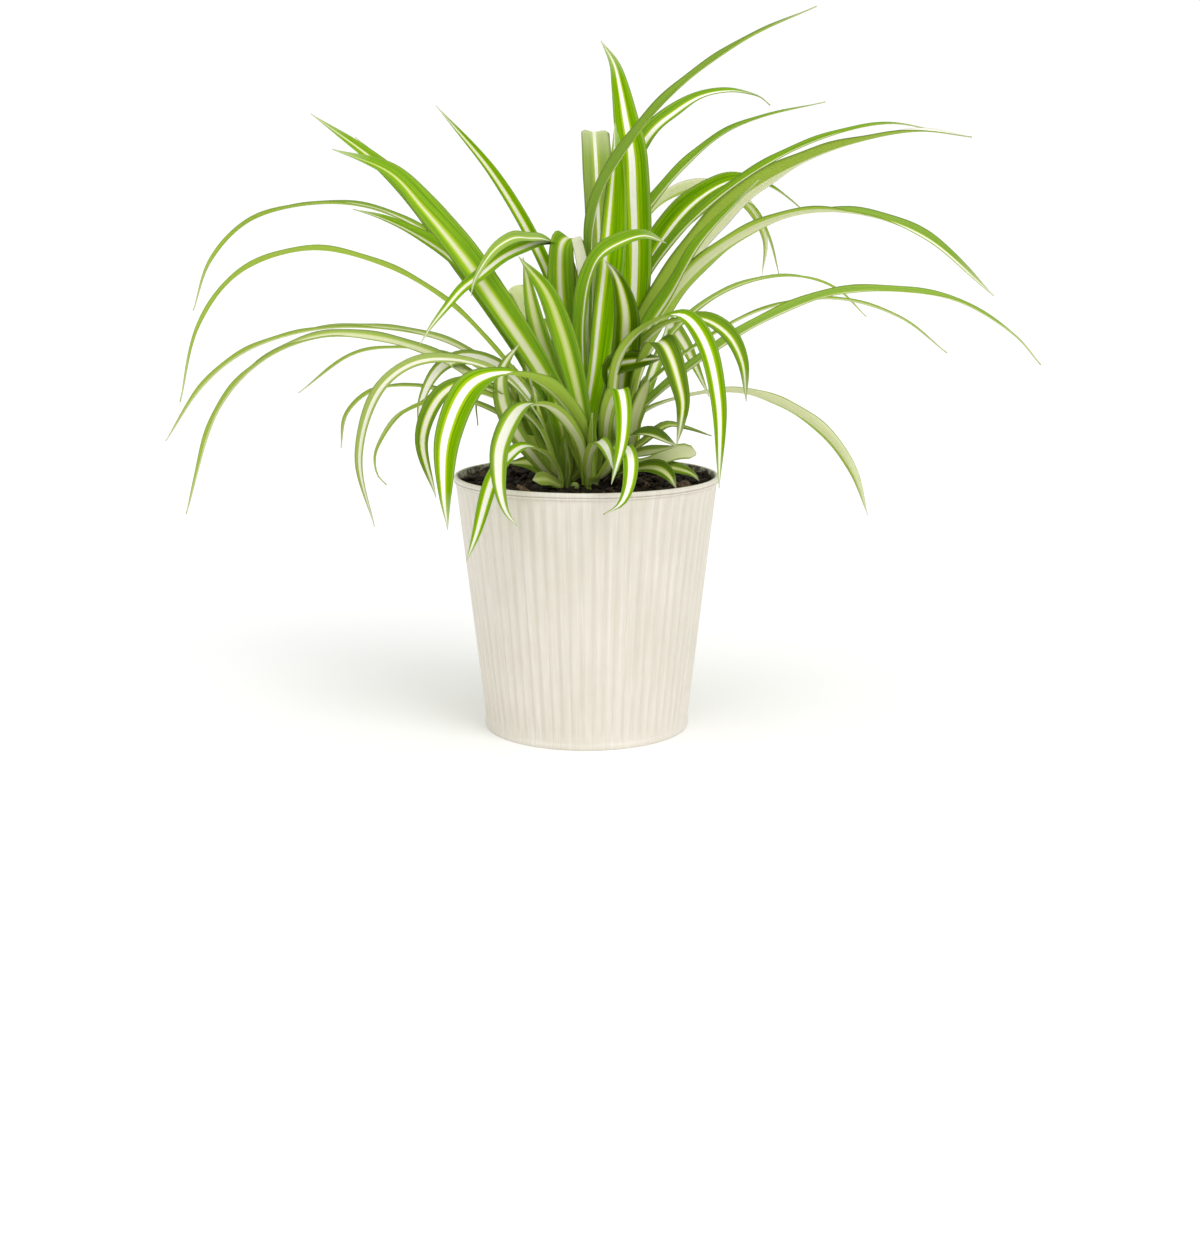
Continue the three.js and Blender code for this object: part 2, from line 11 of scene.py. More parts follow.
import bmesh
import bpy
import numpy as np
from mathutils import Euler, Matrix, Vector


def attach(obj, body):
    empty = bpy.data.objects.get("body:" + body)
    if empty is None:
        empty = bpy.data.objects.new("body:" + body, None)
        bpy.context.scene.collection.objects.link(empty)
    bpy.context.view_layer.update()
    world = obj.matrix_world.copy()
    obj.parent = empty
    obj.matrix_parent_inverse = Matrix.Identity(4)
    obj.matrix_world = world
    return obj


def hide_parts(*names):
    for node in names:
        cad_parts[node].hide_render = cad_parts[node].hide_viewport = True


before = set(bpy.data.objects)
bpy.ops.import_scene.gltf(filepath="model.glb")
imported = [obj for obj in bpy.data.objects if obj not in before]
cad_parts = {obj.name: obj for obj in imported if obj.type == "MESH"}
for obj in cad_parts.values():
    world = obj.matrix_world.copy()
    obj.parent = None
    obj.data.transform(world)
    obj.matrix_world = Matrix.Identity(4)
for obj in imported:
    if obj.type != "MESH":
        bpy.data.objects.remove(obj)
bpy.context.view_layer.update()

MM = 0.001
SEED = 7
TINY = 1e-6  # keeps a length that divides from being 0

# Camera, from the ellipses of the pot's rim and foot ---------------------------------------------

IMAGE_HEIGHT = 1257
FOCAL_PIXELS = 1713
SENSOR = 36
CAMERA_PLACE = (0, -0.9, 0.263)  # metres
CAMERA_PITCH = 13.2  # degrees down
CAMERA_YAW = 0.455  # degrees to the right

# Light and floor ---------------------------------------------------------------------------------

SEEN_LIGHT = 1.05  # strength of the white room where the camera sees it
ROOM_LIGHT = 0.55  # and where it only lights the plant
FLOOR_REACH = 60  # metres

# Each lamp: its name, where it shines from, how many degrees wide it looks, and its strength.
LAMPS = [
    ("overhead", (0, -0.25, 1), 90, 1.3),
    ("key", (0.9, -1, 1.1), 35, 0.9),
    ("fill", (-1, -0.8, 0.8), 60, 0.35),
]

# Pot ---------------------------------------------------------------------------------------------

POT_HEIGHT = 136
RIM_RADIUS = 70
RIM_BAND_HEIGHT = 3.8
WALL_TOP_RADIUS = 69
FOOT_RADIUS = 55.3
FOOT_BAND_HEIGHT = 3.7
WALL_FOOT_RADIUS = 54.7
WALL_THICKNESS = 1.8
FLOOR_THICKNESS = 1.6
CENTRE_RADIUS = 0.01  # of the first and the last row, which a tiny flat face closes
UNDERSIDE_SHARE = 0.6  # where a row runs under the foot, as a share of the foot's radius
UNDERSIDE_EDGE = 1  # how far inside the foot's radius the flat underside ends
FOOT_BEAD = 0.5  # how far the bead of the foot stands out
FOOT_BEAD_GAP = 0.7  # from the top of that bead to the ribbed wall
WALL_EDGE = 0.4  # from the ribbed wall's ends to its first and last fine row
SEAM_DEPTH = 0.2  # of the seam under the rim
SEAM_HEIGHT = 0.1
THIN_BEAD = 0.75  # how far the thin lower bead of the rim stands out
THIN_BEAD_INSET = 0.9  # how far inside the rim's radius it starts
THIN_BEAD_STEPS = 4
RIM_BEAD = 1.1  # how far the round upper bead stands out
RIM_BEAD_FOOT = 1.2  # its foot, over the foot of the rim band
RIM_BEAD_STEPS = 8
LIP_DROP = 0.4  # how far under the top the straight inner wall starts
RIB_COUNT = 66
RIB_DEPTH = 0.7
RIB_FADE = 5  # height over which a rib rises out of the wall under the rim; half of it at the foot
GROOVE_POWER = 1.5  # over 1, so that the grooves are narrower than the ribs
COLUMNS_PER_RIB = 10
WALL_ROWS = 22
INSIDE_ROWS = 4  # rows of the profile that run down the inside
INSIDE_DARK_DROP = 0.5  # how far below the rim the inside is fully darkened to dark brown

# Soil --------------------------------------------------------------------------------------------

SOIL_LEVEL = 132
SOIL_LUMP = 1
LUMP_LENGTHS = (5, 4)
LUMP_SHIFT = 1
SOIL_CRUMB = 0.6
CRUMB_LENGTHS = (3, 3.7)
SOIL_SIDES = 128
SOIL_RING_STEP = 1.6
SOIL_ROUGHNESS = 0.7
SOIL_GAP = 0.05  # between the soil and the wall, at the top
SOIL_FOOT_GAP = 0.3  # and at the pot's floor
BED_TONE = 0.7  # palest tone under the loose chips, whose own tones run up to 1
CHIP_COUNT = 800
CHIP_SIZES = (1.2, 5.4)  # half lengths
CHIP_WIDTHS = (0.35, 0.8)  # this and the next four are per half length of a chip
CHIP_HEIGHTS = (0.25, 0.5)
CHIP_RISE = 0.25  # highest place of a chip's middle over the soil
CHIP_ROUGHNESS = 0.22
CHIP_INSET = 0.8  # how far the middle of a chip stays from the wall
CHIP_TILT = 0.4  # spread of the chips' tilts, in radians
BALL_DETAIL = 2  # subdivisions of the balls that the chips and the bud are made from

# Leaves ------------------------------------------------------------------------------------------

ROOT_SPREAD = 0.55
ROOT_SHARE = 0.6  # width at the root, as a share of a leaf's full width
WIDEST_AT = 0.55
TIP_POWER = 2.3
TIP_WIDTH = 0.3
LEAF_CHANNEL = 0.34
CHANNEL_ROUNDING = 0.03
LEAF_THICKNESS = 0.7
MARGIN_THICKNESS = 0.25
EDGE_WAVE = 0.05  # waving of the edges, per half width
WAVE_LENGTH = 34
HALF_COLUMNS = 4  # strips from the midrib to an edge
SECTION_STEP = 3
FEWEST_SECTIONS = 8
CURVE_STEPS = 40  # points of the first, uneven curve between two given points
SHEATH_DEPTH = 3  # how far a leaf's sheath reaches into the soil
SHEATH_PINCH = 0.8  # how far out it starts there, as a share of its place at the root
SHEATH_SHARE = 0.6  # its width there, as a share of its width at the root
TIP_START = 0.9  # share of the length from which a tip pales
RUN_UNIT = 100  # length that counts as a run of 1
STREAK_SHIFT = 50  # the streaks of a leaf are moved by up to this, so that no two look the same
TORN_CUT = 0.28  # a leaf cut by this share or more ends torn, and one cut by less ends round
BLUNT_START = 0.86  # share of the length from which a round end narrows
BLUNT_LIMIT = 0.98  # where the round stops, so that the end keeps some width
CUT_NOTCH = 0.25  # depth of the notch in a cut tip, per half width
CUT_ROUNDING = 0.35
CUT_RAGGED = 0.4
BAKE_FILL = 0.45  # half width of a leaf on the bake image, per width of its strip there
BUD_PLACE = (-5.9, -34.5, 134)
BUD_SIZES = (2.4, 2.2, 2.6)

# What the leaf material reads at each point: its place across the blade and along its run, the
# looks of the leaf, whether it is on the upper side, the shift of the streaks, and how near the
# tip it is.
LEAF_VALUES = ("across", "run", "tone", "stripe", "offset", "white", "dust", "upper", "shift",
               "tip")

# Each row is one leaf: its full width, the turn of the blade about its own run at the root, the
# middle and the tip in degrees (0 lies face up), the height of its root above the soil, the points
# that it passes through after its root and, for a blunt leaf, the share of it cut off.

# The front clump: the upright fan in the middle, and the leaves that hang over the front and the
# left of the rim.
FRONT_LEAVES = [
    [12, [-110, -118, -118], 16, [[0, -30, 158], [-5, -35, 186], [-12, -39, 213], [-20, -42, 233],
     [-33, -45, 249]]],
    [14, [15, 15, 15], 20, [[1, -20, 161], [6, -12, 191], [10, -6, 221], [13, 0, 246],
     [16, 12, 294], [15, 18, 315]]],
    [15, [30, -5, -70], 10, [[-3, -36, 163], [-19, -62, 187], [-37, -84, 195], [-53, -98, 190],
     [-64, -108, 168], [-66, -110, 143], [-65, -109, 125]]],
    [10, [30, 0, -70], 8, [[-4, -38, 158], [-17, -58, 176], [-29, -74, 179], [-35, -83, 174],
     [-41, -88, 161], [-42, -90, 149], [-41, -90, 138], [-38, -89, 129], [-33, -88, 123]]],
    [8, [20, 20, 20], 4, [[1, -36, 143], [3, -44, 153], [6, -50, 159], [10, -57, 156],
     [13, -62, 147]]],
    [8, [0, 0, -25], 4, [[7, -38, 139], [13, -50, 149], [18, -64, 158], [21, -78, 153],
     [19.5, -86, 141], [16, -87.5, 134], [8, -84, 128]]],
    [8, [-90, -95, -95], 6, [[-4, -31, 150], [-9, -34, 166], [-13, -35, 180]]],
    [8, [70, 70, 70], 6, [[3, -32, 150], [3, -36, 162], [3, -38, 172]]],
]

# The left clump: long low arches out to the left, the broad leaves that rise to the upper left,
# and short ones close to the soil.
LEFT_LEAVES = [
    [9, [-45, -10, 5], 18, [[-26, -2, 180], [-40, 20, 210], [-74, 35, 251], [-110, 45, 271],
     [-143, 48, 275], [-180, 45, 266], [-201, 40, 245], [-211, 36, 219]]],
    [9, [10, 10, 10], 14, [[-20, -15, 166], [-46, -15, 201], [-69, -20, 225], [-98, -28, 243],
     [-135, -38, 252], [-169, -45, 241], [-189, -50, 216], [-200, -52, 179]]],
    [12, [-25, -15, 0], 10, [[-24, -15, 161], [-52, -10, 182], [-76, 0, 196], [-108, 10, 205],
     [-140, 18, 206], [-173, 25, 193], [-198, 28, 167], [-219, 28, 110]]],
    [10, [-15, -5, 5], 10, [[-30, -2, 163], [-46, 25, 184], [-72, 45, 200], [-103, 60, 207],
     [-149, 75, 207], [-191, 85, 195], [-219, 90, 175], [-244, 94, 142]]],
    [6, [10, 10, 10], 12, [[-29, -2, 162], [-47, 30, 180], [-73, 60, 193], [-106, 85, 196],
     [-135, 100, 191], [-169, 112, 168]]],
    [8, [0, 0, 0], 8, [[-26, -8, 153], [-46, 15, 165], [-72, 38, 173], [-95, 55, 177],
     [-120, 68, 173], [-136, 74, 159], [-140, 76, 140]]],
    [7, [-20, -40, -45], 10, [[-24, -30, 168], [-43, -38, 191], [-67, -45, 199], [-86, -50, 197],
     [-102, -54, 184], [-112, -56, 152], [-106, -54, 117]]],
    [9, [0, 10, 20], 6, [[-24, -30, 163], [-43, -45, 179], [-68, -52, 185], [-79, -58, 179],
     [-90, -66, 174], [-98, -71, 164], [-102, -74, 155], [-101, -75, 146], [-97, -74, 141]]],
    [9, [0, -20, -60], 8, [[-24, -30, 163], [-40, -48, 180], [-57, -62, 189], [-70, -72, 184],
     [-79, -77, 164], [-73, -76, 135]]],
    [8, [-60, -70, -80], 12, [[-26, -20, 172], [-44, -10, 192], [-63, -4, 197], [-76, 0, 191],
     [-86, 2, 174], [-88, 2, 156]]],
    [6, [-30, -50, -60], 10, [[-27, -6, 158], [-41, 20, 174], [-52, 35, 178], [-60, 45, 170],
     [-60, 48, 156]]],
    [8, [-30, -30, -20], 12, [[-24, -10, 163], [-40, 0, 186], [-53, 10, 195], [-69, 20, 196]]],
    [9, [-150, -150, -120], 4, [[-21, -30, 142], [-37, -48, 167], [-42, -54, 183], [-41, -56, 196],
     [-33, -54, 207]]],
    [15, [-75, -62, -35], 16, [[-7, -15, 161], [-21, -14, 189], [-42, -10, 221], [-63, -2, 250],
     [-83, 6, 273], [-100, 12, 290], [-131, 20, 302]]],
    [10, [-65, -60, -50], 18, [[-20, -9, 168], [-30, 4, 192], [-48, 10, 220], [-67, 18, 246],
     [-86, 26, 272], [-106, 32, 293], [-145, 42, 321]]],
    [8, [0, -20, -36], 4, [[-15, -30, 142], [-22, -44, 153], [-31, -56, 157], [-38, -65, 153],
     [-45, -70, 144], [-54, -73, 116], [-59, -73, 103]]],
    [8, [-60, -60, -60], 2, [[-14, -30, 134], [-20, -37, 138], [-27, -44, 139]], 0.15],
    [9, [-40, -50, -50], 2, [[-20, -6, 137], [-28, 2, 141], [-41, 12, 140]]],
    [10, [-45, -40, -30], 14, [[-26, -8, 178], [-34, 2, 206], [-45, 4, 225], [-60, 8, 239],
     [-73, 12, 250], [-88, 18, 259], [-106, 26, 267], [-123, 32, 272]]],
    [9, [-90, -90, -90], 4, [[-22, -13, 152], [-30, -15, 168], [-36, -16, 184]]],
    [9, [-90, -90, -90], 2, [[-17, -19, 150], [-23, -26, 166], [-26, -30, 180]]],
    [13, [-47, -47, -47], 4, [[-19, -17, 147], [-27, -11, 162], [-34, -5, 180], [-38, 0, 193]]],
    [12, [-20, -20, -20], 4, [[-11, -18, 152], [-15, -15, 172], [-18, -14, 192]]],
    [11, [-80, -80, -80], 4, [[-18, -24, 148], [-23, -24, 166], [-27, -22, 184]]],
    [14, [-90, -90, -90], 2, [[-7, -25, 143], [-8, -24, 157], [-9, -22, 171]]],
    [13, [0, 0, 0], 2, [[-5, -16, 138], [-5, -14, 155], [-6, -12, 172]]],
]

# The right clump: striped leaves that arch to the right and hang in front, short ones close to
# the soil, and long low arches out to the right.
RIGHT_LEAVES = [
    [9, [0, 0, 0], 10, [[10, -22, 153], [11, -40, 174], [16, -56, 185], [18, -68, 176],
     [17, -76, 161], [12, -80, 142]]],
    [14, [185, 185, 185], 16, [[16, -18, 166], [18, -24, 187], [20, -36, 208], [20, -44, 222],
     [17, -51, 235], [13, -55, 243], [9, -58, 247]]],
    [10, [0, 15, 30], 16, [[14, -25, 167], [17, -38, 199], [31, -52, 216], [46, -62, 221],
     [56, -70, 210], [63, -77, 182], [64, -80, 140]]],
    [11, [-40, 0, 60], 16, [[15, -10, 176], [27, -24, 202], [41, -38, 216], [56, -48, 219],
     [69, -56, 212], [76, -60, 199], [78, -62, 180]]],
    [12, [70, 20, 18], 12, [[24, -14, 155], [25, -20, 177], [28, -28, 192], [32, -42, 203],
     [35, -54, 208], [38, -64, 207], [41, -71, 201], [44, -77, 191], [46, -80, 181], [45, -82, 171],
     [43, -83, 161]]],
    [8, [110, 110, 110], 8, [[24, -18, 156], [25, -22, 167], [28, -24, 177], [32, -24, 187]], 0.15],
    [13, [40, 70, 90], 14, [[13, -17, 164], [13, -25, 183], [12, -27, 192], [18, -31, 196],
     [27, -36, 198], [34, -40, 199], [39, -42, 200]]],
    [13, [15, 15, 15], 6, [[13, -24, 146], [21, -36, 159], [32, -46, 162], [45, -54, 157]]],
    [11, [30, 30, 30], 4, [[15, -22, 142], [25, -30, 149], [35, -38, 152], [45, -46, 156]]],
    [9, [60, 60, 60], 4, [[20, -11, 140], [34, -13, 143], [42, -14, 147], [50, -14, 149],
     [57, -14, 148]], 0.25],
    [8, [20, 15, 10], 6, [[19, 0, 143], [31, 4, 152], [43, 8, 160], [54, 12, 158], [67, 16, 154]]],
    [11, [30, 30, 30], 2, [[16, -20, 138], [24, -26, 141], [31, -31, 143], [37, -36, 143],
     [42, -42, 140], [45, -46, 135]]],
    [7, [40, 40, 60], 2, [[20, -12, 137], [34, -14, 141], [46, -18, 141], [55, -22, 138.5],
     [58, -24, 135.5]]],
    [10, [60, 95, 110], 14, [[31, 1, 180], [40, 19, 202], [45, 42, 211], [53, 52, 201],
     [60, 60, 188], [69, 66, 170]]],
    [10, [0, -20, -40], 8, [[17, 0, 154], [31, 12, 167], [56, 30, 174], [85, 48, 174],
     [111, 62, 165], [135, 72, 149], [153, 78, 126], [163, 80, 100]]],
    [9, [55, 30, -5], 10, [[12, -10, 152], [33, -14, 176], [58, -20, 197], [87, -28, 216],
     [121, -36, 230], [155, -42, 232], [183, -48, 227], [210, -52, 211], [223, -54, 197]]],
    [7, [20, 0, -8], 12, [[13, 0, 154], [33, 0, 183], [59, -2, 204], [90, -4, 221], [127, -8, 227],
     [160, -12, 218], [185, -14, 200]]],
    [6, [20, 10, 0], 16, [[27, 5, 168], [42, 32, 201], [65, 50, 222], [90, 64, 233], [117, 76, 236],
     [141, 86, 229], [160, 92, 213]]],
    [9, [80, 80, 80], 4, [[21, -4, 154], [26, -8, 172], [30, -10, 188]]],
    [9, [80, 80, 80], 2, [[16, -8, 152], [19, -14, 170], [21, -18, 186]]],
]

# The back clump: the tall leaves, the long ones that rise to the upper right, the folded ones
# over the middle, and those that fall away behind.
BACK_LEAVES = [
    [11, [140, 140, 140], 16, [[-12, 30, 161], [-25, 50, 197], [-36, 66, 226], [-41, 76, 230],
     [-46, 86, 223], [-49, 92, 206]]],
    [7, [-65, -65, -60], 18, [[-3, 20, 174], [-12, 30, 216], [-24, 38, 248], [-49, 50, 290],
     [-80, 54, 326]]],
    [8, [-70, -70, -55], 18, [[-6, 28, 157], [-22, 36, 186], [-43, 42, 220], [-64, 48, 250],
     [-86, 52, 275], [-124, 56, 310]]],
    [10, [-120, -125, -130], 16, [[-6, 0, 159], [-18, -4, 191], [-26, -8, 216], [-32, -10, 248]]],
    [9, [20, -20, -60], 18, [[-6, 34, 225], [-10, 32, 244], [-15, 26, 252], [-21, 14, 256],
     [-29, -4, 257], [-37, -22, 257], [-45, -35, 252], [-51, -44, 244], [-55, -49, 236],
     [-56, -52, 230]]],
    [9, [10, -30, -45], 16, [[-4, 40, 225], [-11, 38, 245], [-16, 32, 252], [-21, 18, 255],
     [-33, -8, 252], [-43, -24, 247], [-53, -34, 239], [-61, -41, 233], [-68, -47, 225],
     [-76, -53, 215], [-81, -57, 207]]],
    [16, [20, 20, 20], 18, [[-5, 8, 172], [-11, 9, 195], [-13, 11, 221], [-14, 13, 241],
     [-13, 17, 254], [-9, 24, 257], [-4, 32, 252], [0, 38, 240]]],
    [16, [0, 0, 0], 20, [[8, 25, 230], [7, 26, 251], [6, 27, 274], [5, 29, 297],
     [4, 33, 313]], 0.35],
    [6, [200, 200, 200], 18, [[1, 12, 190], [-1, 3, 211], [-1, 2, 231], [-2, 3, 245],
     [-5, 5, 258]], 0.3],
    [13, [105, 85, 70], 16, [[-2, -6, 196], [-2, -9, 214], [1, -12, 236], [7, -14, 249],
     [18, -17, 256], [30, -21, 259], [40, -25, 255]]],
    [18, [10, 10, 10], 20, [[19, 30, 172], [24, 32, 204], [26, 35, 245], [25, 40, 278],
     [24, 44, 301], [21, 48, 318], [18, 51, 335], [15, 53, 347], [8, 55, 359]]],
    [14, [-85, -20, 45], 14, [[17, 10, 174], [33, 4, 208], [53, -4, 237], [78, -14, 257],
     [106, -24, 269], [135, -32, 269], [166, -40, 258], [200, -46, 230]]],
    [15, [-90, -60, 30], 16, [[15, 30, 178], [32, 31, 215], [54, 29, 248], [81, 24, 277],
     [111, 22, 295], [142, 20, 306], [172, 18, 311], [199, 16, 308]]],
    [9, [40, 20, 10], 18, [[13, 34, 182], [25, 42, 222], [44, 50, 252], [70, 58, 277],
     [106, 66, 300], [139, 72, 313], [167, 76, 318], [192, 80, 315]]],
    [12, [60, 50, 30], 14, [[15, -4, 175], [30, -6, 209], [44, -8, 231], [58, -10, 255],
     [87, -10, 286]]],
    [13, [50, 45, 20], 16, [[12, 40, 182], [23, 54, 221], [38, 68, 253], [58, 82, 276],
     [84, 98, 289], [106, 110, 285], [127, 116, 271]]],
    [9, [30, 20, 20], 14, [[11, 50, 181], [24, 68, 223], [47, 88, 256], [74, 106, 276],
     [93, 118, 276], [106, 126, 258], [114, 130, 235]]],
    [9, [-90, -80, -30], 12, [[10, 56, 186], [19, 76, 231], [37, 98, 272], [66, 118, 286],
     [93, 132, 277], [106, 140, 256], [105, 144, 234]]],
    [9, [40, 20, 0], 20, [[7, 30, 183], [9, 31, 212], [14, 36, 236], [26, 44, 262], [42, 54, 283],
     [60, 66, 301], [78, 75, 314], [98, 80, 322], [132, 84, 330]]],
    [14, [60, 30, 20], 20, [[7, 38, 209], [11, 44, 240], [17, 50, 272], [26, 55, 298],
     [36, 58, 313], [47, 61, 322], [62, 64, 331], [77, 66, 334], [88, 67, 333], [95, 68, 331],
     [100, 68, 327]]],
    [13, [35, 40, 10], 20, [[3, 10, 180], [3, 8, 211], [3, 7, 236], [3, 4, 261], [8, 1, 281],
     [19, -3, 299], [33, -6, 317], [51, -9, 334], [71, -12, 348], [85, -14, 356], [113, -16, 368]]],
    [12, [0, 0, 0], 12, [[-8, 44, 172], [-22, 78, 204], [-30, 116, 208], [-34, 146, 184],
     [-34, 160, 140]]],
    [13, [10, 5, 0], 10, [[4, 50, 170], [4, 90, 196], [0, 128, 190], [-4, 154, 158],
     [-6, 162, 118]]],
    [11, [0, 5, 10], 8, [[14, 44, 160], [22, 76, 178], [26, 104, 172], [28, 122, 146],
     [28, 126, 112]]],
    [10, [0, 0, 0], 6, [[-10, 40, 152], [-22, 62, 166], [-28, 84, 162], [-32, 98, 138],
     [-34, 100, 108]]],
    [9, [0, 0, 0], 4, [[2, 44, 144], [0, 62, 154], [-2, 82, 150], [-4, 92, 128]]],
]

# The look of each leaf in turn: the half width of its pale stripe at the root and at the tip, and
# how far that stripe lies off the midrib, all three per half width of the leaf; the whiteness of
# the stripe, whose greyer whites near 0.8 are partly painted shade; the tone of the margins, from
# 0, deep and dull, to 1, bright; and how dusty they are.
FRONT_LOOKS = [
    (0.24, 0.14, 0.05, 0.35, 0.7, 0.1), (0.16, 0.1, 0.45, 0.9, 0.85, 0),
    (0.1, 0.3, -0.2, 1, 0.7, 0), (0.5, 0.4, 0, 0.92, 0.6, 0.2), (0.5, 0.4, 0, 0.92, 0.6, 0.2),
    # The last two rows are short fillers in the crown, deep and dull as painted shade in the gaps
    # between the leaves.
    (0.42, 0.35, 0.1, 0.95, 0.7, 0), (0.2, 0.2, 0, 0.2, 0.05, 0.1), (0.2, 0.2, 0, 0.2, 0.05, 0.1),
]
LEFT_LOOKS = [
    (0.2, 0.1, -0.2, 0.7, 0.6, 0.3), (0, 0, 0, 0, 0.65, 0.35), (0.45, 0.4, 0, 0.5, 0.5, 0.7),
    (0.4, 0.4, 0, 0.5, 0.5, 0.7), (0.3, 0.3, 0, 0.4, 0.5, 0.6), (0.3, 0.3, 0, 0.3, 0.4, 0.6),
    (0.22, 0.38, 0.1, 0.85, 0.35, 0.9), (0.3, 0.2, 0, 0.5, 0.5, 0.9),
    (0.25, 0.32, 0.1, 0.8, 0.25, 0.15), (0.5, 0.5, 0, 0.9, 0.3, 0.5), (0.4, 0.3, 0, 0.6, 0.4, 0.4),
    (0.3, 0.3, 0, 0.4, 0.3, 0.4), (0.4, 0.3, 0, 0.6, 0.3, 0.4), (0.4, -0.02, 0.2, 0.55, 0.75, 0.1),
    (0.14, 0.1, 0.1, 0.8, 0.75, 0.1), (0.4, 0.35, 0, 0.95, 0.8, 0), (0.25, 0.25, 0, 0.3, 0, 0.9),
    # Rows 19 and 20 (the last here and the first on the next line) and row 25 (the last) are short
    # fillers in the crown, deep and dull as painted shade in the gaps between the leaves.
    (0.3, 0.3, 0, 0.3, 0.1, 0.2), (0.16, 0.16, 0.3, 0.8, 0.8, 0.1), (0.2, 0.2, 0, 0.2, 0.05, 0.1),
    (0.2, 0.2, 0, 0.2, 0.05, 0.1), (0.7, 0.7, 0, 0.1, 0.35, 0.6), (0.15, 0.1, 0, 0.3, 0.6, 0),
    (0.2, 0.2, 0, 0.3, 0.3, 0.2), (0.5, 0.4, 0, 0.2, 0.4, 0.8), (0.2, 0.2, 0, 0.2, 0.1, 0.1),
]
RIGHT_LOOKS = [
    (0.3, 0.3, 0.1, 1, 0.7, 0), (0.26, 0.2, 0.1, 0.6, 0.1, 0), (0.26, 0.3, 0, 1, 0.65, 0),
    (0.17, 0.17, -0.1, 0.85, 0.4, 0.1), (0.2, 0.16, 0, 0.72, 0.1, 0.1),
    (0.6, 0.6, 0, 0.4, 0.2, 0.5), (0.12, 0.12, 0, 0.9, 0, 0), (0.25, 0.2, -0.3, 0.7, 0, 0.2),
    (0.5, 0.4, 0, 0.5, 0.15, 0.6), (0.75, 0.75, 0, 0.5, 0.3, 0.9), (0.3, 0.2, 0, 0.3, 0.3, 0.5),
    (0.2, 0.2, 0, 0.45, 0.05, 0.1), (0.2, 0.2, 0, 0.4, 0.2, 0.2), (0.4, 0.3, 0, 0.85, 0.6, 0.3),
    (0.6, 0.6, -0.3, 0.8, 0.6, 0.6), (0.25, 0.2, -0.5, 0.7, 0.75, 0.35),
    # The last row here and the one after it are short fillers in the crown, deep and dull as painted
    # shade in the gaps between the leaves.
    (0.25, 0.2, -0.4, 0.7, 0.7, 0.4), (0.2, 0.2, 0, 0.5, 0.7, 0.5), (0.2, 0.2, 0, 0.2, 0.05, 0.1),
    (0.2, 0.2, 0, 0.2, 0.05, 0.1),
]
BACK_LOOKS = [
    (0.8, 0.8, 0, 0.6, 0.4, 0.5), (0.25, 0.25, 0.2, 0.8, 0.7, 0), (0.2, 0.2, 0, 0.5, 0.8, 0.1),
    (0.3, 0.3, 0, 0.4, 0.7, 0.2), (0.14, 0.12, 0, 0.9, 0.7, 0.45), (0.2, 0.25, 0, 0.9, 0.75, 0.05),
    (0.14, 0.14, 0, 0.8, 0.6, 0.1), (0.12, 0.12, 0, 1, 0.5, 0.6), (0.9, 0.9, 0, 0.7, 0.5, 0.8),
    (0.1, 0.1, -0.2, 0.95, 0.75, 0.1), (0.2, 0.18, 0, 1, 0.8, 0), (0.35, 0.3, -0.3, 0.9, 0.6, 0.3),
    (0.55, 0.55, 0.45, 0.9, 0.35, 0.05), (0.15, 0.25, -0.3, 0.8, 0.6, 0.1),
    (0.2, 0.2, -0.3, 0.8, 0.65, 0.1), (0.14, 0.14, -0.35, 1, 0.6, 0), (0.5, 0.4, 0, 0.8, 0.6, 0.5),
    (0.6, 0.6, -0.4, 0.8, 0.75, 0.5), (0.2, 0.2, -0.4, 0.7, 0.7, 0.15),
    (0.28, 0.28, -0.1, 0.95, 0.7, 0.1), (0.5, -0.3, -0.7, 0.95, 0.5, 0.25),
    (0.3, 0.3, 0, 0.7, 0.6, 0.1), (0.3, 0.3, 0, 0.7, 0.6, 0.1), (0.3, 0.3, 0, 0.7, 0.6, 0.1),
    (0.3, 0.3, 0, 0.7, 0.6, 0.1), (0.3, 0.3, 0, 0.7, 0.6, 0.1),
]

CLUMPS = [
    {"node": "front_leaf_clump", "x": 2.5, "y": -28, "radius": 6.5, "leaves": FRONT_LEAVES,
     "looks": FRONT_LOOKS},
    {"node": "left_leaf_clump", "x": -12.5, "y": -24, "radius": 6.5, "leaves": LEFT_LEAVES,
     "looks": LEFT_LOOKS},
    {"node": "right_leaf_clump", "x": 18, "y": -6, "radius": 6.5, "leaves": RIGHT_LEAVES,
     "looks": RIGHT_LOOKS},
    {"node": "back_leaf_clump", "x": 3, "y": 22, "radius": 7.5, "leaves": BACK_LEAVES,
     "looks": BACK_LOOKS},
]

# Node helpers ------------------------------------------------------------------------------------

MIX_INPUTS = (0, 6, 7)  # the factor and the two colours, among the inputs of a Mix node
MIX_OUTPUT = 2  # and its mixed colour, among the outputs


def colour(red, green, blue):
    """A colour of 0 to 255 per channel, as the linear values that a shader takes."""
    def linear(value):
        value /= 255
        return value / 12.92 if value <= 0.04045 else ((value + 0.055) / 1.055) ** 2.4
    return (linear(red), linear(green), linear(blue), 1)


def connect(tree, socket, value):
    if isinstance(value, bpy.types.NodeSocket):
        tree.links.new(value, socket)
    else:
        socket.default_value = value


def calculate(tree, operation, *values):
    node = tree.nodes.new("ShaderNodeMath")
    node.operation = operation
    for socket, value in zip(node.inputs, values):
        connect(tree, socket, value)
    return node.outputs[0]


def add(tree, first, second):
    return calculate(tree, "ADD", first, second)


def subtract(tree, first, second):
    return calculate(tree, "SUBTRACT", first, second)


def multiply(tree, first, second):
    return calculate(tree, "MULTIPLY", first, second)


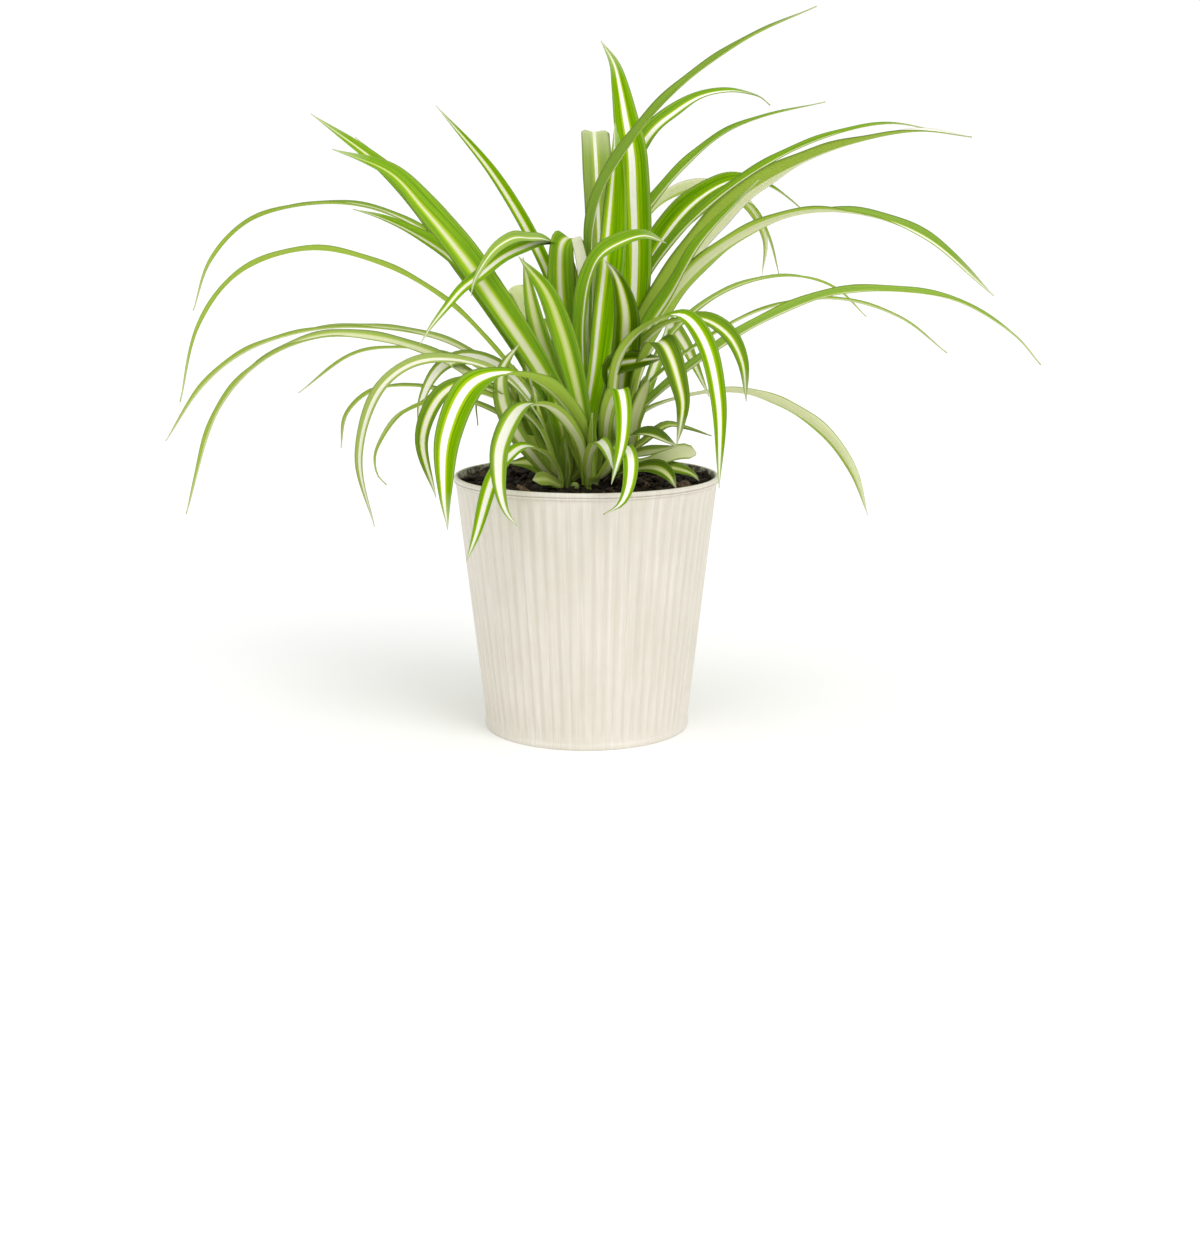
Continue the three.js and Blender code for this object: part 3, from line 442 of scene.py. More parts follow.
def divide(tree, first, second):
    return calculate(tree, "DIVIDE", first, second)


def blend_colours(tree, factor, first, second):
    """The first colour where factor is 0, and the second where it is 1."""
    node = tree.nodes.new("ShaderNodeMix")
    node.data_type = "RGBA"
    for number, value in zip(MIX_INPUTS, (factor, first, second)):
        connect(tree, node.inputs[number], value)
    return node.outputs[MIX_OUTPUT]


def lay_over(tree, base, over, mask, share):
    """The base colour, with this share of another laid over it where mask is 1."""
    return blend_colours(tree, multiply(tree, mask, share), base, over)


def fade(tree, value, start, end):
    """0 where value is start, 1 where it is end, and smooth between them."""
    node = tree.nodes.new("ShaderNodeMapRange")
    node.interpolation_type = "SMOOTHSTEP"
    connect(tree, node.inputs["Value"], value)
    connect(tree, node.inputs["From Min"], start)
    connect(tree, node.inputs["From Max"], end)
    return node.outputs["Result"]


def attribute(tree, name):
    node = tree.nodes.new("ShaderNodeAttribute")
    node.attribute_name = name
    return node.outputs["Fac"]


def vector(tree, x, y, z):
    node = tree.nodes.new("ShaderNodeCombineXYZ")
    for socket, value in zip(node.inputs, (x, y, z)):
        connect(tree, socket, value)
    return node.outputs[0]


def noise(tree, place, scale, detail=2, roughness=0.5):
    node = tree.nodes.new("ShaderNodeTexNoise")
    tree.links.new(place, node.inputs["Vector"])
    node.inputs["Scale"].default_value = scale
    node.inputs["Detail"].default_value = detail
    node.inputs["Roughness"].default_value = roughness
    return node.outputs["Fac"]


def object_place(tree):
    return tree.nodes.new("ShaderNodeTexCoord").outputs["Object"]


def bump(tree, height, distance, strength):
    """A normal for a surface that height raises by up to distance, in metres."""
    node = tree.nodes.new("ShaderNodeBump")
    node.inputs["Distance"].default_value = distance
    node.inputs["Strength"].default_value = strength
    tree.links.new(height, node.inputs["Height"])
    return node.outputs["Normal"]


def make_material(name, paint):
    """A material whose shader takes the inputs that paint works out on its node tree."""
    material = bpy.data.materials.new(name)
    material.use_nodes = True
    tree = material.node_tree
    for socket, value in paint(tree).items():
        connect(tree, tree.nodes["Principled BSDF"].inputs[socket], value)
    return material


# Colours -----------------------------------------------------------------------------------------

# Where there are two, the first goes with the low end of the value that blends them.
DEEP_MARGINS = colour(42, 74, 0), colour(92, 146, 0)
BRIGHT_MARGINS = colour(90, 122, 4), colour(146, 196, 0)
# Grey-green margins: real dust on a dusty leaf, and painted sheen and light shining through at the
# very edge of every leaf.
DUST_AND_EDGE_SHEEN_MARGINS = colour(142, 160, 84), colour(190, 208, 118)
STRIPE_BORDER = colour(190, 210, 34)
# Yellowish cream at low whiteness, then a greyish white that is partly painted shade on a white
# stripe.
CREAM_AND_SHADED_WHITE_STRIPES = colour(206, 216, 124), colour(228, 226, 204)
WHITE_STRIPE = colour(250, 248, 240)
STRIPE_STREAK = colour(196, 212, 110)
# Underside colours: partly the leaf's own paler underside, partly painted light shining through the
# thin leaf.
UNDERSIDE_GREENS_LIT_THROUGH = colour(140, 164, 60), colour(184, 212, 84)
UNDERSIDE_STRIPES_LIT_THROUGH = colour(202, 216, 128), colour(228, 230, 188)
UNDERSIDE_VEIN_LIT_THROUGH = colour(146, 176, 56)
SHEATH_OLIVE_AND_SHADE = colour(148, 168, 62)
LEAF_TIP = colour(206, 208, 172)
LEAF_SHEEN = (0.95, 1, 0.3, 1)

PAINTS = colour(219, 213, 200), colour(227, 221, 210)
GROOVE_SHADE = colour(200, 193, 176)
DARK_STREAK = colour(200, 192, 173)
PALE_STREAK = colour(239, 236, 227)
PAINT_SPECK = colour(196, 188, 168)
INSIDE_DARK_BROWN = colour(72, 58, 44)

DAMP_SOILS = colour(20, 13, 7), colour(50, 36, 24)
DRY_BARKS = colour(76, 56, 38), colour(138, 114, 88)
BUD_GREENS = colour(108, 126, 58), colour(150, 164, 92)
FLOOR_WHITES = colour(247, 247, 246), colour(252, 252, 251)

# Materials ---------------------------------------------------------------------------------------

STREAK_ACROSS = 4  # what a half width counts as in a leaf's broad streaks; a run of 1 is 1 there
VEIN_SCALES = (17, 2)  # what a half width and a run of 1 count as in its fine veins
STRIPE_WOBBLE = 0.16  # of the stripe's edges; this and the next four are per half width
STRIPE_SOFTNESS = 0.22  # how far a dull stripe fades out on both sides of its edge
BORDER_WIDTH = 0.26
BORDER_START = 0.02
EDGE_SHEEN_START = 0.7  # where the painted sheen and light shining through at the very edge start
SHARPEST = 1.1  # the whiteness at which a stripe would not fade out at all
BORDER_SHARE = 0.75  # of the border's own colour on a clean leaf
BORDER_LOSS = 0.5  # how much of that a dusty leaf loses
SHEATH_RUN = (0.55, 0.1)  # the runs between which a leaf takes on a dull olive, partly its sheath's own colour and partly painted shade in the crown
AXIS_RADIUS = 0.001  # metres; keeps the pot's streaks finite on its own axis
STREAK_RISE = 0.4  # what a metre up the pot counts as in its streaks; a radian round it is 1


def leaf_paint(tree):
    """A pale middle stripe with fine green streaks, yellow-green borders and green margins."""
    across, run, tone, stripe, offset, white, dust, upper, shift, tip = (
        attribute(tree, name) for name in LEAF_VALUES)
    wide = vector(tree, multiply(tree, across, STREAK_ACROSS), run, shift)
    streaks = noise(tree, wide, scale=1.6, detail=3, roughness=0.6)
    narrow = vector(tree, multiply(tree, across, VEIN_SCALES[0]),
                    multiply(tree, run, VEIN_SCALES[1]), shift)
    veins = noise(tree, narrow, scale=1)

    away = calculate(tree, "ABSOLUTE", subtract(tree, across, offset))
    away = add(tree, away, multiply(tree, subtract(tree, streaks, 0.5), STRIPE_WOBBLE))
    soft = multiply(tree, subtract(tree, SHARPEST, white), STRIPE_SOFTNESS)
    inside = fade(tree, away, add(tree, stripe, soft), subtract(tree, stripe, soft))
    border = fade(tree, away, add(tree, stripe, BORDER_WIDTH), add(tree, stripe, BORDER_START))
    clean = subtract(tree, BORDER_SHARE, multiply(tree, dust, BORDER_LOSS))

    deep = blend_colours(tree, tone, *DEEP_MARGINS)
    bright = blend_colours(tree, tone, *BRIGHT_MARGINS)
    margin = blend_colours(tree, fade(tree, veins, start=0.25, end=0.75), deep, bright)
    # Painted sheen and light shining through at the very edge, laid on together with the leaf's own
    # dust.
    edge = fade(tree, calculate(tree, "ABSOLUTE", across), EDGE_SHEEN_START, 1)
    dust_and_edge_sheen = calculate(tree, "MAXIMUM", multiply(tree, edge, 0.4), dust)
    margin = blend_colours(tree, dust_and_edge_sheen, margin, blend_colours(tree, tone, *DUST_AND_EDGE_SHEEN_MARGINS))
    margin = lay_over(tree, margin, STRIPE_BORDER, border, clean)
    # A greyer white stripe is partly painted shade.
    cream = blend_colours(tree, fade(tree, white, start=0.1, end=0.8), *CREAM_AND_SHADED_WHITE_STRIPES)
    cream = blend_colours(tree, fade(tree, white, start=0.8, end=1), cream, WHITE_STRIPE)
    cream = lay_over(tree, cream, STRIPE_STREAK, fade(tree, veins, start=0.54, end=0.74), 0.25)
    face = blend_colours(tree, inside, margin, cream)

    # The underside: partly its own paler colour, partly painted light shining through the leaf.
    back = blend_colours(tree, inside, blend_colours(tree, tone, *UNDERSIDE_GREENS_LIT_THROUGH),
                         blend_colours(tree, white, *UNDERSIDE_STRIPES_LIT_THROUGH))
    back = lay_over(tree, back, UNDERSIDE_VEIN_LIT_THROUGH, fade(tree, veins, start=0.4, end=0.7), 0.3)
    both = blend_colours(tree, upper, back, face)
    # Dull olive towards the base: partly the sheath's own colour, partly painted shade in the
    # crowded crown.
    both = lay_over(tree, both, SHEATH_OLIVE_AND_SHADE, fade(tree, run, *SHEATH_RUN), 0.5)
    both = lay_over(tree, both, LEAF_TIP, tip, 0.6)
    relief = add(tree, veins, multiply(tree, streaks, 0.6))
    return {"Base Color": both,
            "Roughness": add(tree, multiply(tree, veins, 0.16), 0.42),
            "Normal": bump(tree, relief, distance=0.0003, strength=0.5),
            "Specular IOR Level": 0.05,
            "Specular Tint": LEAF_SHEEN}


def pot_paint(tree):
    """Cream paint on sheet metal: satin, with upright streaks, painted shade in the grooves and dark
    brown blots inside.
    """
    place = object_place(tree)
    parts = tree.nodes.new("ShaderNodeSeparateXYZ")
    tree.links.new(place, parts.inputs[0])
    x, y, z = parts.outputs
    radius = calculate(tree, "SQRT", add(tree, multiply(tree, x, x), multiply(tree, y, y)))
    radius = calculate(tree, "MAXIMUM", radius, AXIS_RADIUS)
    upright = vector(tree, divide(tree, x, radius), divide(tree, y, radius),
                     multiply(tree, z, STREAK_RISE))
    streaks = noise(tree, upright, scale=46, detail=3, roughness=0.7)
    clouds = noise(tree, place, scale=26, detail=4, roughness=0.6)
    specks = noise(tree, place, scale=900, roughness=0.6)
    blots = noise(tree, place, scale=160, detail=4, roughness=0.7)
    paint = blend_colours(tree, fade(tree, clouds, start=0.3, end=0.7), *PAINTS)
    # Painted shade in the grooves between the ribs.
    paint = lay_over(tree, paint, GROOVE_SHADE, attribute(tree, "groove"), 0.35)
    paint = lay_over(tree, paint, DARK_STREAK, fade(tree, streaks, start=0.5, end=0.3), 0.3)
    paint = lay_over(tree, paint, PALE_STREAK, fade(tree, streaks, start=0.52, end=0.7), 0.5)
    paint = lay_over(tree, paint, PAINT_SPECK, fade(tree, specks, start=0.6, end=0.8), 0.12)
    # Dark brown in blots over the inside of the pot, from just under the rim down.
    inside_blots = add(tree, fade(tree, blots, start=0.62, end=0.4), 0.35)
    inside_blots = calculate(tree, "MINIMUM", multiply(tree, attribute(tree, "inside_dark"), inside_blots), 1)
    return {"Base Color": blend_colours(tree, inside_blots, paint, INSIDE_DARK_BROWN),
            "Roughness": add(tree, multiply(tree, clouds, 0.14), 0.36),
            "Normal": bump(tree, streaks, distance=0.0004, strength=0.4),
            "Specular IOR Level": 0.4}


def soil_paint(tree):
    """Damp bark and peat: near-black brown, with a few paler, drier chips."""
    place = object_place(tree)
    grain = noise(tree, place, scale=900, detail=4, roughness=0.7)
    patches = noise(tree, place, scale=140, detail=3, roughness=0.6)
    dark = blend_colours(tree, fade(tree, patches, start=0.35, end=0.7), *DAMP_SOILS)
    pale = blend_colours(tree, fade(tree, grain, start=0.4, end=0.7), *DRY_BARKS)
    dry = fade(tree, attribute(tree, "tone"), BED_TONE, 1)
    return {"Base Color": blend_colours(tree, dry, dark, pale),
            "Roughness": add(tree, multiply(tree, grain, 0.4), 0.5),
            "Normal": bump(tree, grain, distance=0.0014, strength=0.8),
            "Specular IOR Level": 0.25}


def bud_paint(tree):
    """Pale green skin of a young shoot."""
    patches = noise(tree, object_place(tree), scale=320, detail=3, roughness=0.6)
    patches = fade(tree, patches, start=0.35, end=0.65)
    return {"Base Color": blend_colours(tree, patches, *BUD_GREENS),
            "Roughness": 0.5,
            "Specular IOR Level": 0.2}


def floor_paint(tree):
    clouds = noise(tree, object_place(tree), scale=3)
    return {"Base Color": blend_colours(tree, clouds, *FLOOR_WHITES),
            "Roughness": 0.8,
            "Specular IOR Level": 0.2}


# Pieces ------------------------------------------------------------------------------------------


def make_piece(name, vertices, faces, node, material, flat=False):
    """A mesh in millimetres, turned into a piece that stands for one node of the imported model."""
    mesh = bpy.data.meshes.new(name)
    mesh.from_pydata([[value * MM for value in vertex] for vertex in vertices], [], faces)
    mesh.validate()
    mesh.polygons.foreach_set("use_smooth", [not flat] * len(mesh.polygons))
    mesh.materials.append(material)
    piece = bpy.data.objects.new(name, mesh)
    bpy.context.scene.collection.objects.link(piece)
    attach(piece, "root")
    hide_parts(node)
    return piece


def add_values(piece, name, values):
    layer = piece.data.attributes.new(name, "FLOAT", "POINT")
    layer.data.foreach_set("value", np.asarray(values, np.float32))


def tube_faces(rows, columns, first=0):
    """Quads between rows of points that each run round a tube, and then a face over each end.

    The points are numbered from first, row by row."""
    faces = []
    for j in range(rows - 1):
        for i in range(columns):
            a = first + j * columns + i
            b = first + j * columns + (i + 1) % columns
            faces.append((a, b, b + columns, a + columns))
    last = first + (rows - 1) * columns
    faces.append(tuple(reversed(range(first, first + columns))))
    faces.append(tuple(range(last, last + columns)))
    return faces


def round_ball():
    shape = bmesh.new()
    bmesh.ops.create_icosphere(shape, subdivisions=BALL_DETAIL, radius=1)
    vertices = [vertex.co.copy() for vertex in shape.verts]
    faces = [[vertex.index for vertex in face.verts] for face in shape.faces]
    shape.free()
    return vertices, faces


# Pot


def wall_radius(z):
    share = (z - FOOT_BAND_HEIGHT) / (POT_HEIGHT - RIM_BAND_HEIGHT - FOOT_BAND_HEIGHT)
    return WALL_FOOT_RADIUS + (WALL_TOP_RADIUS - WALL_FOOT_RADIUS) * share


def bead(radius, low, high, depth, steps=6):
    """Plain rows of a half-round band from low to high that stands depth out past radius."""
    middle, half = (low + high) / 2, (high - low) / 2
    rows = []
    for i in range(steps + 1):
        angle = math.pi * i / steps - math.pi / 2
        rows.append((radius + depth * math.cos(angle), middle + half * math.sin(angle), 0))
    return rows


def pot_profile():
    """Rows of (radius, height, rib share), from under the foot, up the outside, down the inside."""
    rim_low = POT_HEIGHT - RIM_BAND_HEIGHT
    bead_low = rim_low + RIM_BEAD_FOOT
    rows = [(CENTRE_RADIUS, 0, 0), (FOOT_RADIUS * UNDERSIDE_SHARE, 0, 0),
            (FOOT_RADIUS - UNDERSIDE_EDGE, 0, 0)]
    rows += bead(FOOT_RADIUS - FOOT_BEAD, 0, FOOT_BAND_HEIGHT - FOOT_BEAD_GAP, FOOT_BEAD)
    rows.append((wall_radius(FOOT_BAND_HEIGHT), FOOT_BAND_HEIGHT, 0))
    climb = rim_low - FOOT_BAND_HEIGHT - 2 * WALL_EDGE
    for i in range(WALL_ROWS + 1):
        z = FOOT_BAND_HEIGHT + WALL_EDGE + climb * i / WALL_ROWS
        rib = min((z - FOOT_BAND_HEIGHT) / RIB_FADE * 2, (rim_low - z) / RIB_FADE, 1)
        rows.append((wall_radius(z), z, rib))
    rows.append((wall_radius(rim_low) - SEAM_DEPTH, rim_low, 0))
    rows += bead(RIM_RADIUS - THIN_BEAD_INSET, rim_low + SEAM_HEIGHT, bead_low, THIN_BEAD,
                 THIN_BEAD_STEPS)
    rows += bead(RIM_RADIUS - RIM_BEAD, bead_low, POT_HEIGHT, RIM_BEAD, RIM_BEAD_STEPS)
    rows.append((wall_radius(POT_HEIGHT) - WALL_THICKNESS, POT_HEIGHT - LIP_DROP, 0))
    rows.append((wall_radius(SOIL_LEVEL) - WALL_THICKNESS, SOIL_LEVEL, 0))
    rows.append((wall_radius(FLOOR_THICKNESS) - WALL_THICKNESS, FLOOR_THICKNESS, 0))
    rows.append((CENTRE_RADIUS, FLOOR_THICKNESS, 0))
    return rows


def make_pot():
    columns = RIB_COUNT * COLUMNS_PER_RIB
    rows = pot_profile()
    vertices = []
    grooves = []
    inside_dark = []
    for j, (radius, z, rib) in enumerate(rows):
        inside = j >= len(rows) - INSIDE_ROWS
        inside_dark += [inside * min((POT_HEIGHT - z) / INSIDE_DARK_DROP, 1)] * columns
        for i in range(columns):
            angle = 2 * math.pi * i / columns
            groove = (0.5 + 0.5 * math.cos(RIB_COUNT * angle)) ** GROOVE_POWER * rib
            reach = radius - RIB_DEPTH * groove
            vertices.append((reach * math.cos(angle), reach * math.sin(angle), z))
            grooves.append(groove)
    piece = make_piece("pot_body", vertices, tube_faces(len(rows), columns), "pot",
                       make_material("cream_paint", pot_paint))
    add_values(piece, "groove", grooves)
    add_values(piece, "inside_dark", inside_dark)


# Soil


def soil_height(x, y):
    lump = math.sin(x / LUMP_LENGTHS[0] + LUMP_SHIFT) * math.cos(y / LUMP_LENGTHS[1])
    crumb = math.sin(x / CRUMB_LENGTHS[0] - y / CRUMB_LENGTHS[1])
    return SOIL_LEVEL + SOIL_LUMP * lump + SOIL_CRUMB * crumb


def soil_bed(rng):
    """The body of the soil: a plug with a rough top. Returns vertices, faces and tones."""
    edge = wall_radius(SOIL_LEVEL) - WALL_THICKNESS - SOIL_GAP
    low_edge = wall_radius(FLOOR_THICKNESS) - WALL_THICKNESS - SOIL_FOOT_GAP
    rings = int(edge / SOIL_RING_STEP)
    radii = [(low_edge, FLOOR_THICKNESS + SOIL_FOOT_GAP)]
    radii += [(edge * (rings - k) / rings, None) for k in range(rings)]
    vertices = []
    for radius, z in radii:
        for i in range(SOIL_SIDES):
            angle = 2 * math.pi * i / SOIL_SIDES
            x, y = radius * math.cos(angle), radius * math.sin(angle)
            height = z if z is not None else soil_height(x, y) + rng.uniform(-1, 1) * SOIL_ROUGHNESS
            vertices.append((x, y, height))
    tones = [rng.uniform(0, BED_TONE) for _ in vertices]
    return vertices, tube_faces(len(radii), SOIL_SIDES), tones


def make_soil():
    rng = random.Random(SEED)
    vertices, faces, tones = soil_bed(rng)
    ball, ball_faces = round_ball()
    reach = wall_radius(SOIL_LEVEL) - WALL_THICKNESS
    for _ in range(CHIP_COUNT):
        size = rng.triangular(CHIP_SIZES[0], CHIP_SIZES[1], CHIP_SIZES[0])
        radius = (reach - size * CHIP_INSET) * math.sqrt(rng.random())
        angle = rng.uniform(0, 2 * math.pi)
        x, y = radius * math.cos(angle), radius * math.sin(angle)
        width, height = rng.uniform(*CHIP_WIDTHS), rng.uniform(*CHIP_HEIGHTS)
        stretch = Vector((size, size * width, size * height))
        tilts = (rng.gauss(0, CHIP_TILT), rng.gauss(0, CHIP_TILT), rng.uniform(0, 2 * math.pi))
        turn = Euler(tilts).to_matrix()
        centre = Vector((x, y, soil_height(x, y) + size * rng.uniform(0, CHIP_RISE)))
        first = len(vertices)
        tone = rng.random()
        for point in ball:
            rough = 1 + rng.uniform(-CHIP_ROUGHNESS, CHIP_ROUGHNESS)
            place = turn @ Vector([a * b for a, b in zip(point * rough, stretch)]) + centre
            vertices.append(tuple(place))
            tones.append(tone)
        faces += [[first + index for index in face] for face in ball_faces]
    piece = make_piece("potting_soil", vertices, faces, "soil",
                       make_material("dark_soil", soil_paint), flat=True)
    add_values(piece, "tone", tones)


# Leaves


def centripetal_curve(points, count):
    """count + 1 points, evenly spaced along a centripetal Catmull-Rom curve, and its length."""
    points = np.array(points, float)
    knots = np.vstack([2 * points[0] - points[1], points, 2 * points[-1] - points[-2]])
    gaps = np.sqrt(np.linalg.norm(np.diff(knots, axis=0), axis=1))
    times = np.concatenate([[0], np.cumsum(gaps)])
    fine = []
    for k in range(1, len(knots) - 2):
        t0, t1, t2, t3 = times[k - 1:k + 3]
        p0, p1, p2, p3 = knots[k - 1:k + 3]
        for t in np.linspace(t1, t2, CURVE_STEPS, endpoint=k == len(knots) - 3):
            a1 = ((t1 - t) * p0 + (t - t0) * p1) / (t1 - t0)
            a2 = ((t2 - t) * p1 + (t - t1) * p2) / (t2 - t1)
            a3 = ((t3 - t) * p2 + (t - t2) * p3) / (t3 - t2)
            b1 = ((t2 - t) * a1 + (t - t0) * a2) / (t2 - t0)
            b2 = ((t3 - t) * a2 + (t - t1) * a3) / (t3 - t1)
            fine.append(((t2 - t) * b1 + (t - t1) * b2) / (t2 - t1))
    fine = np.array(fine)
    lengths = np.concatenate([[0], np.cumsum(np.linalg.norm(np.diff(fine, axis=0), axis=1))])
    wanted = np.linspace(0, lengths[-1], count + 1)
    even = np.stack([np.interp(wanted, lengths, fine[:, axis]) for axis in range(3)], 1)
    return even, lengths[-1]


def unit(array):
    return array / np.linalg.norm(array, axis=-1, keepdims=True)


def leaf_root(clump, first, root_height):
    """Where a leaf leaves its crown: a little off the middle, towards its first point."""
    centre = np.array([clump["x"], clump["y"], SOIL_LEVEL + root_height], float)
    outward = np.array(first, float) - centre
    outward[2] = 0
    length = np.linalg.norm(outward)
    return centre + outward * min(length, clump["radius"] * ROOT_SPREAD) / max(length, TINY)


def width_share(t):
    """Width at share t of a leaf's length: rising to its full width and then tapering off."""
    rising = np.clip(t / WIDEST_AT, 0, 1)
    share = ROOT_SHARE + (1 - ROOT_SHARE) * rising * rising * (3 - 2 * rising)
    falling = np.clip((t - WIDEST_AT) / (1 - WIDEST_AT), 0, 1)
    return share * (1 - falling ** TIP_POWER)


def channel(across):
    """Rise of the blade over its midrib, from 0 there to 1 at the edges."""
    low = math.sqrt(CHANNEL_ROUNDING)
    return (np.sqrt(across ** 2 + CHANNEL_ROUNDING) - low) / (math.sqrt(1 + CHANNEL_ROUNDING) - low)


def leaf_rings(clump, leaf, rng):
    """Rings of points about one leaf, from its sheath in the soil to its tip.

    Also gives how far across the blade each point of a ring lies, from -1 to 1, whether it is on
    the upper side, and each ring's share of the blade's length and distance from the start."""
    width, turns, root_height, points, *cut = leaf
    cut = cut[0] if cut else 0
    root = leaf_root(clump, points[0], root_height)
    centre = np.array([clump["x"], clump["y"], SOIL_LEVEL - SHEATH_DEPTH], float)
    start = centre + (root - centre) * (SHEATH_PINCH, SHEATH_PINCH, 0)
    path = [start, root] + points
    rough_length = np.linalg.norm(np.diff(np.array(path, float), axis=0), axis=1).sum()
    count = max(FEWEST_SECTIONS, int(rough_length / SECTION_STEP))
    centres, length = centripetal_curve(path, count)
    along = unit(np.gradient(centres, axis=0))
    heading = np.array(points[-1], float) - root
    heading[2] = 0
    level = np.cross((0, 0, 1), unit(heading))
    side = unit(level - along * (along @ level)[:, None])
    distance = np.linspace(0, length, count + 1)
    sheath = distance[np.argmin(np.linalg.norm(centres - root, axis=1))]
    t = np.clip((distance - sheath) / (length - sheath), 0, 1)
    turn = np.radians(np.interp(t, (0, 0.5, 1), turns))[:, None]
    side = side * np.cos(turn) + np.cross(along, side) * np.sin(turn)
    face = np.cross(along, side)
    narrow = SHEATH_SHARE + (1 - SHEATH_SHARE) * np.clip(distance / sheath, 0, 1)
    half = np.maximum(width * width_share(t * (1 - cut)) * narrow, TIP_WIDTH) / 2
    if 0 < cut < TORN_CUT:
        half *= np.sqrt(1 - np.clip((t - BLUNT_START) / (1 - BLUNT_START), 0, BLUNT_LIMIT) ** 2)

    top = np.linspace(1, -1, 2 * HALF_COLUMNS + 1)
    across = np.concatenate([top, top[-2:0:-1]])
    is_top = np.arange(len(across)) < len(top)
    thickness = MARGIN_THICKNESS + (LEAF_THICKNESS - MARGIN_THICKNESS) * (1 - np.abs(across))
    below = np.where(is_top, 0.5, -0.5) * thickness
    wave = np.sin(2 * math.pi * (distance / WAVE_LENGTH + rng.random()))[:, None]
    lean = np.sign(across) * across ** 2
    lift = half[:, None] * (LEAF_CHANNEL * channel(across) + EDGE_WAVE * wave * lean) + below
    rings = centres[:, None] + side[:, None] * (half[:, None, None] * across[:, None])
    rings += face[:, None] * lift[..., None]
    if cut >= TORN_CUT:
        ragged = [rng.uniform(-1, 1) for _ in range(HALF_COLUMNS + 1)]
        shape = np.interp(np.abs(across), np.linspace(0, 1, HALF_COLUMNS + 1), ragged)
        drop = CUT_NOTCH * (1 - np.abs(across)) + CUT_ROUNDING * across ** 4
        rings[-1] += along[-1] * (CUT_RAGGED * shape - half[-1] * drop)[:, None]
    return rings, across, is_top, t, distance


def bake_marks(across, distance, number, strip):
    """Places on the bake image of the corners of a leaf's faces, in the order of tube_faces.

    The leaf's upper side fills one strip of the image, and its lower side the next one."""
    ring = len(across)
    marks = []
    for i in range(len(distance) - 1):
        here, there = distance[i] / distance[-1], distance[i + 1] / distance[-1]
        for k in range(ring):
            row = 2 * number + (0 if k < 2 * HALF_COLUMNS else 1)
            low = (across[k] * BAKE_FILL + 0.5 + row) * strip
            high = (across[(k + 1) % ring] * BAKE_FILL + 0.5 + row) * strip
            marks.append(((here, low), (here, high), (there, high), (there, low)))
    for end in (0, 1):
        marks.append([(end, (0.5 + 2 * number) * strip)] * ring)
    return marks


def make_clump(clump, material):
    rng = random.Random(SEED + len(clump["leaves"]))
    vertices = []
    faces = []
    marks = []
    values = {name: [] for name in LEAF_VALUES}
    strip = 1 / (2 * len(clump["leaves"]) + 1)
    for number, leaf in enumerate(clump["leaves"]):
        rings, across, is_top, t, distance = leaf_rings(clump, leaf, rng)
        ring = len(across)
        faces += tube_faces(len(t), ring, first=len(vertices))
        vertices += rings.reshape(-1, 3).tolist()
        marks += bake_marks(across, distance, number, strip)
        root_stripe, tip_stripe, offset, white, tone, dust = clump["looks"][number]
        same = {"tone": tone, "offset": offset, "white": white, "dust": dust,
                "shift": rng.uniform(0, STREAK_SHIFT)}
        for name, value in same.items():
            values[name] += [value] * (ring * len(t))
        for share, run in zip(t, distance):
            values["across"] += across.tolist()
            values["upper"] += is_top.astype(float).tolist()
            values["run"] += [run / RUN_UNIT] * ring
            values["stripe"] += [root_stripe + (tip_stripe - root_stripe) * share] * ring
            values["tip"] += [max(0, (share - TIP_START) / (1 - TIP_START))] * ring
    piece = make_piece(clump["node"].replace("_leaf_clump", "_leaves"), vertices, faces,
                       clump["node"], material)
    for name, numbers in values.items():
        add_values(piece, name, numbers)
    layer = piece.data.uv_layers.new(name="OFBake")
    layer.data.foreach_set("uv", [value for face in marks for corner in face for value in corner])


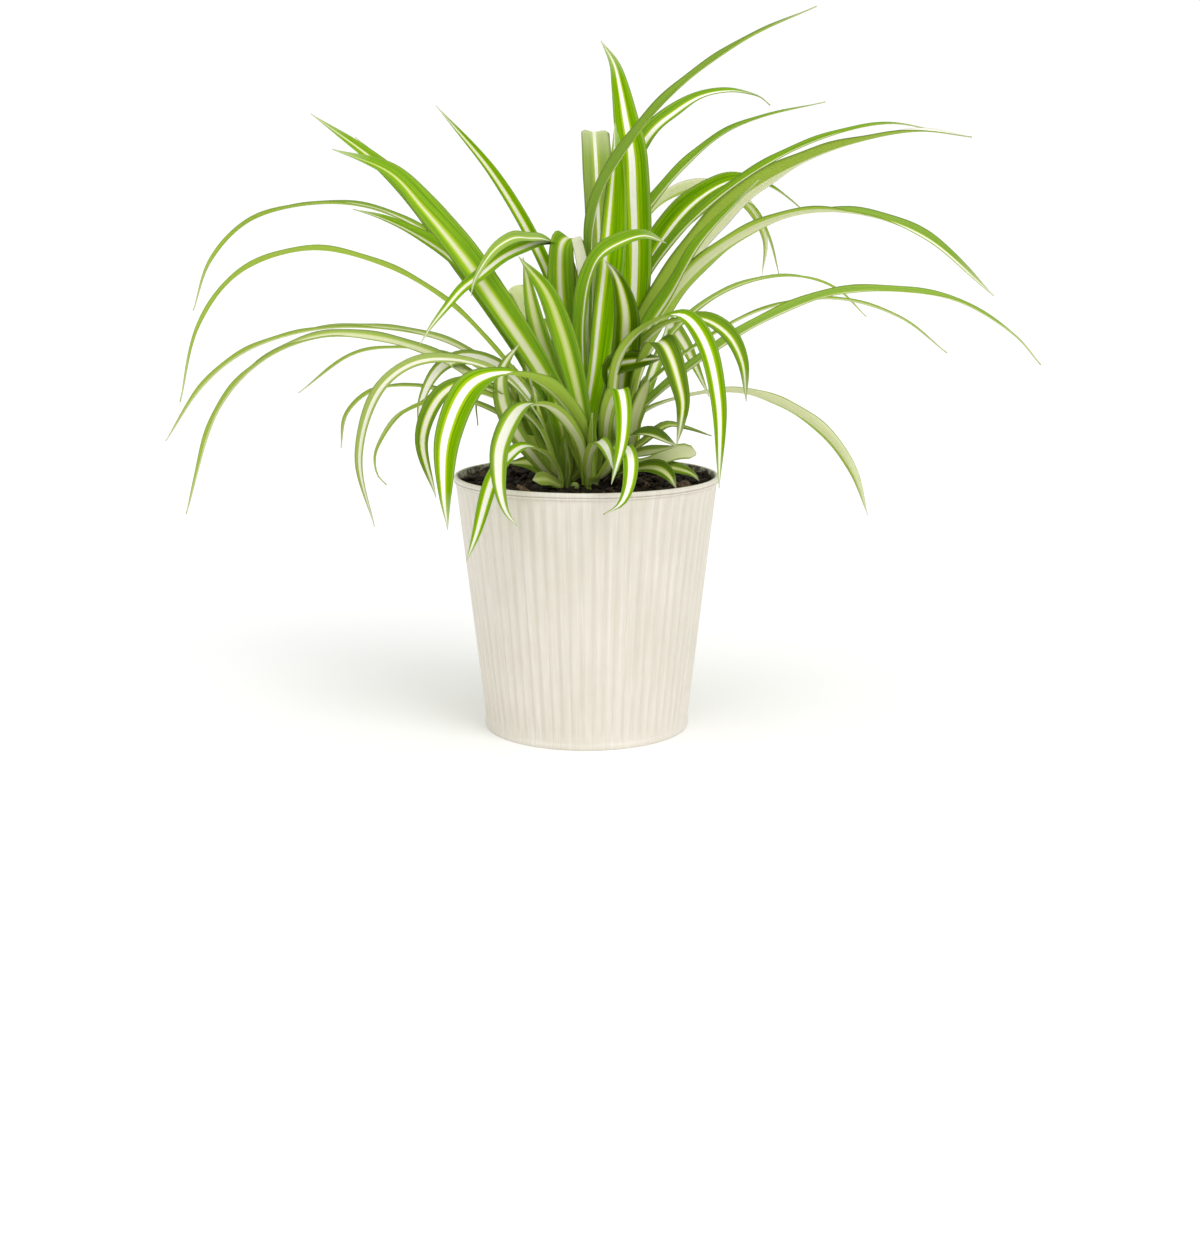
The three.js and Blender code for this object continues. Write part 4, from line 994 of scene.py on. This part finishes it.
def make_bud():
    """A young shoot, still a bud, at the foot of the front clump."""
    ball, faces = round_ball()
    vertices = [[a * b + c for a, b, c in zip(point, BUD_SIZES, BUD_PLACE)] for point in ball]
    make_piece("young_bud", vertices, faces, "front_leaf_clump",
               make_material("young_bud", bud_paint))


# Floor, light and camera -------------------------------------------------------------------------


def make_floor():
    mesh = bpy.data.meshes.new("floor")
    signs = ((-1, -1), (1, -1), (1, 1), (-1, 1))
    mesh.from_pydata([(x * FLOOR_REACH, y * FLOOR_REACH, 0) for x, y in signs], [], [(0, 1, 2, 3)])
    mesh.materials.append(make_material("pale_floor", floor_paint))
    floor = bpy.data.objects.new("floor", mesh)
    bpy.context.scene.collection.objects.link(floor)


def make_sun(name, place, spread, strength):
    """A soft lamp that shines on everything alike, from place towards the middle of the scene."""
    lamp = bpy.data.lights.new(name, "SUN")
    lamp.angle = math.radians(spread)
    lamp.energy = strength
    holder = bpy.data.objects.new(name, lamp)
    holder.rotation_euler = (-Vector(place)).to_track_quat("-Z", "Y").to_euler()
    bpy.context.scene.collection.objects.link(holder)


def light_studio():
    """A white room: seen full white, while less light comes from its walls than from the lamps."""
    world = bpy.data.worlds.new("studio")
    world.use_nodes = True
    tree = world.node_tree
    background = tree.nodes["Background"]
    background.inputs["Color"].default_value = (1, 1, 1, 1)
    seen = tree.nodes.new("ShaderNodeLightPath").outputs["Is Camera Ray"]
    light = add(tree, ROOM_LIGHT, multiply(tree, seen, SEEN_LIGHT - ROOM_LIGHT))
    tree.links.new(light, background.inputs["Strength"])
    bpy.context.scene.world = world
    for lamp in LAMPS:
        make_sun(*lamp)


def make_camera():
    camera = bpy.data.cameras.new("camera")
    camera.sensor_width = SENSOR
    camera.lens = SENSOR * FOCAL_PIXELS / IMAGE_HEIGHT
    holder = bpy.data.objects.new("camera", camera)
    holder.location = CAMERA_PLACE
    holder.rotation_euler = (math.radians(90 - CAMERA_PITCH), 0, math.radians(-CAMERA_YAW))
    bpy.context.scene.collection.objects.link(holder)
    bpy.context.scene.camera = holder


bpy.context.scene.view_settings.view_transform = "Standard"
make_camera()
light_studio()
make_floor()
make_pot()
make_soil()
striped = make_material("striped_leaf", leaf_paint)
for clump in CLUMPS:
    make_clump(clump, striped)
make_bud()
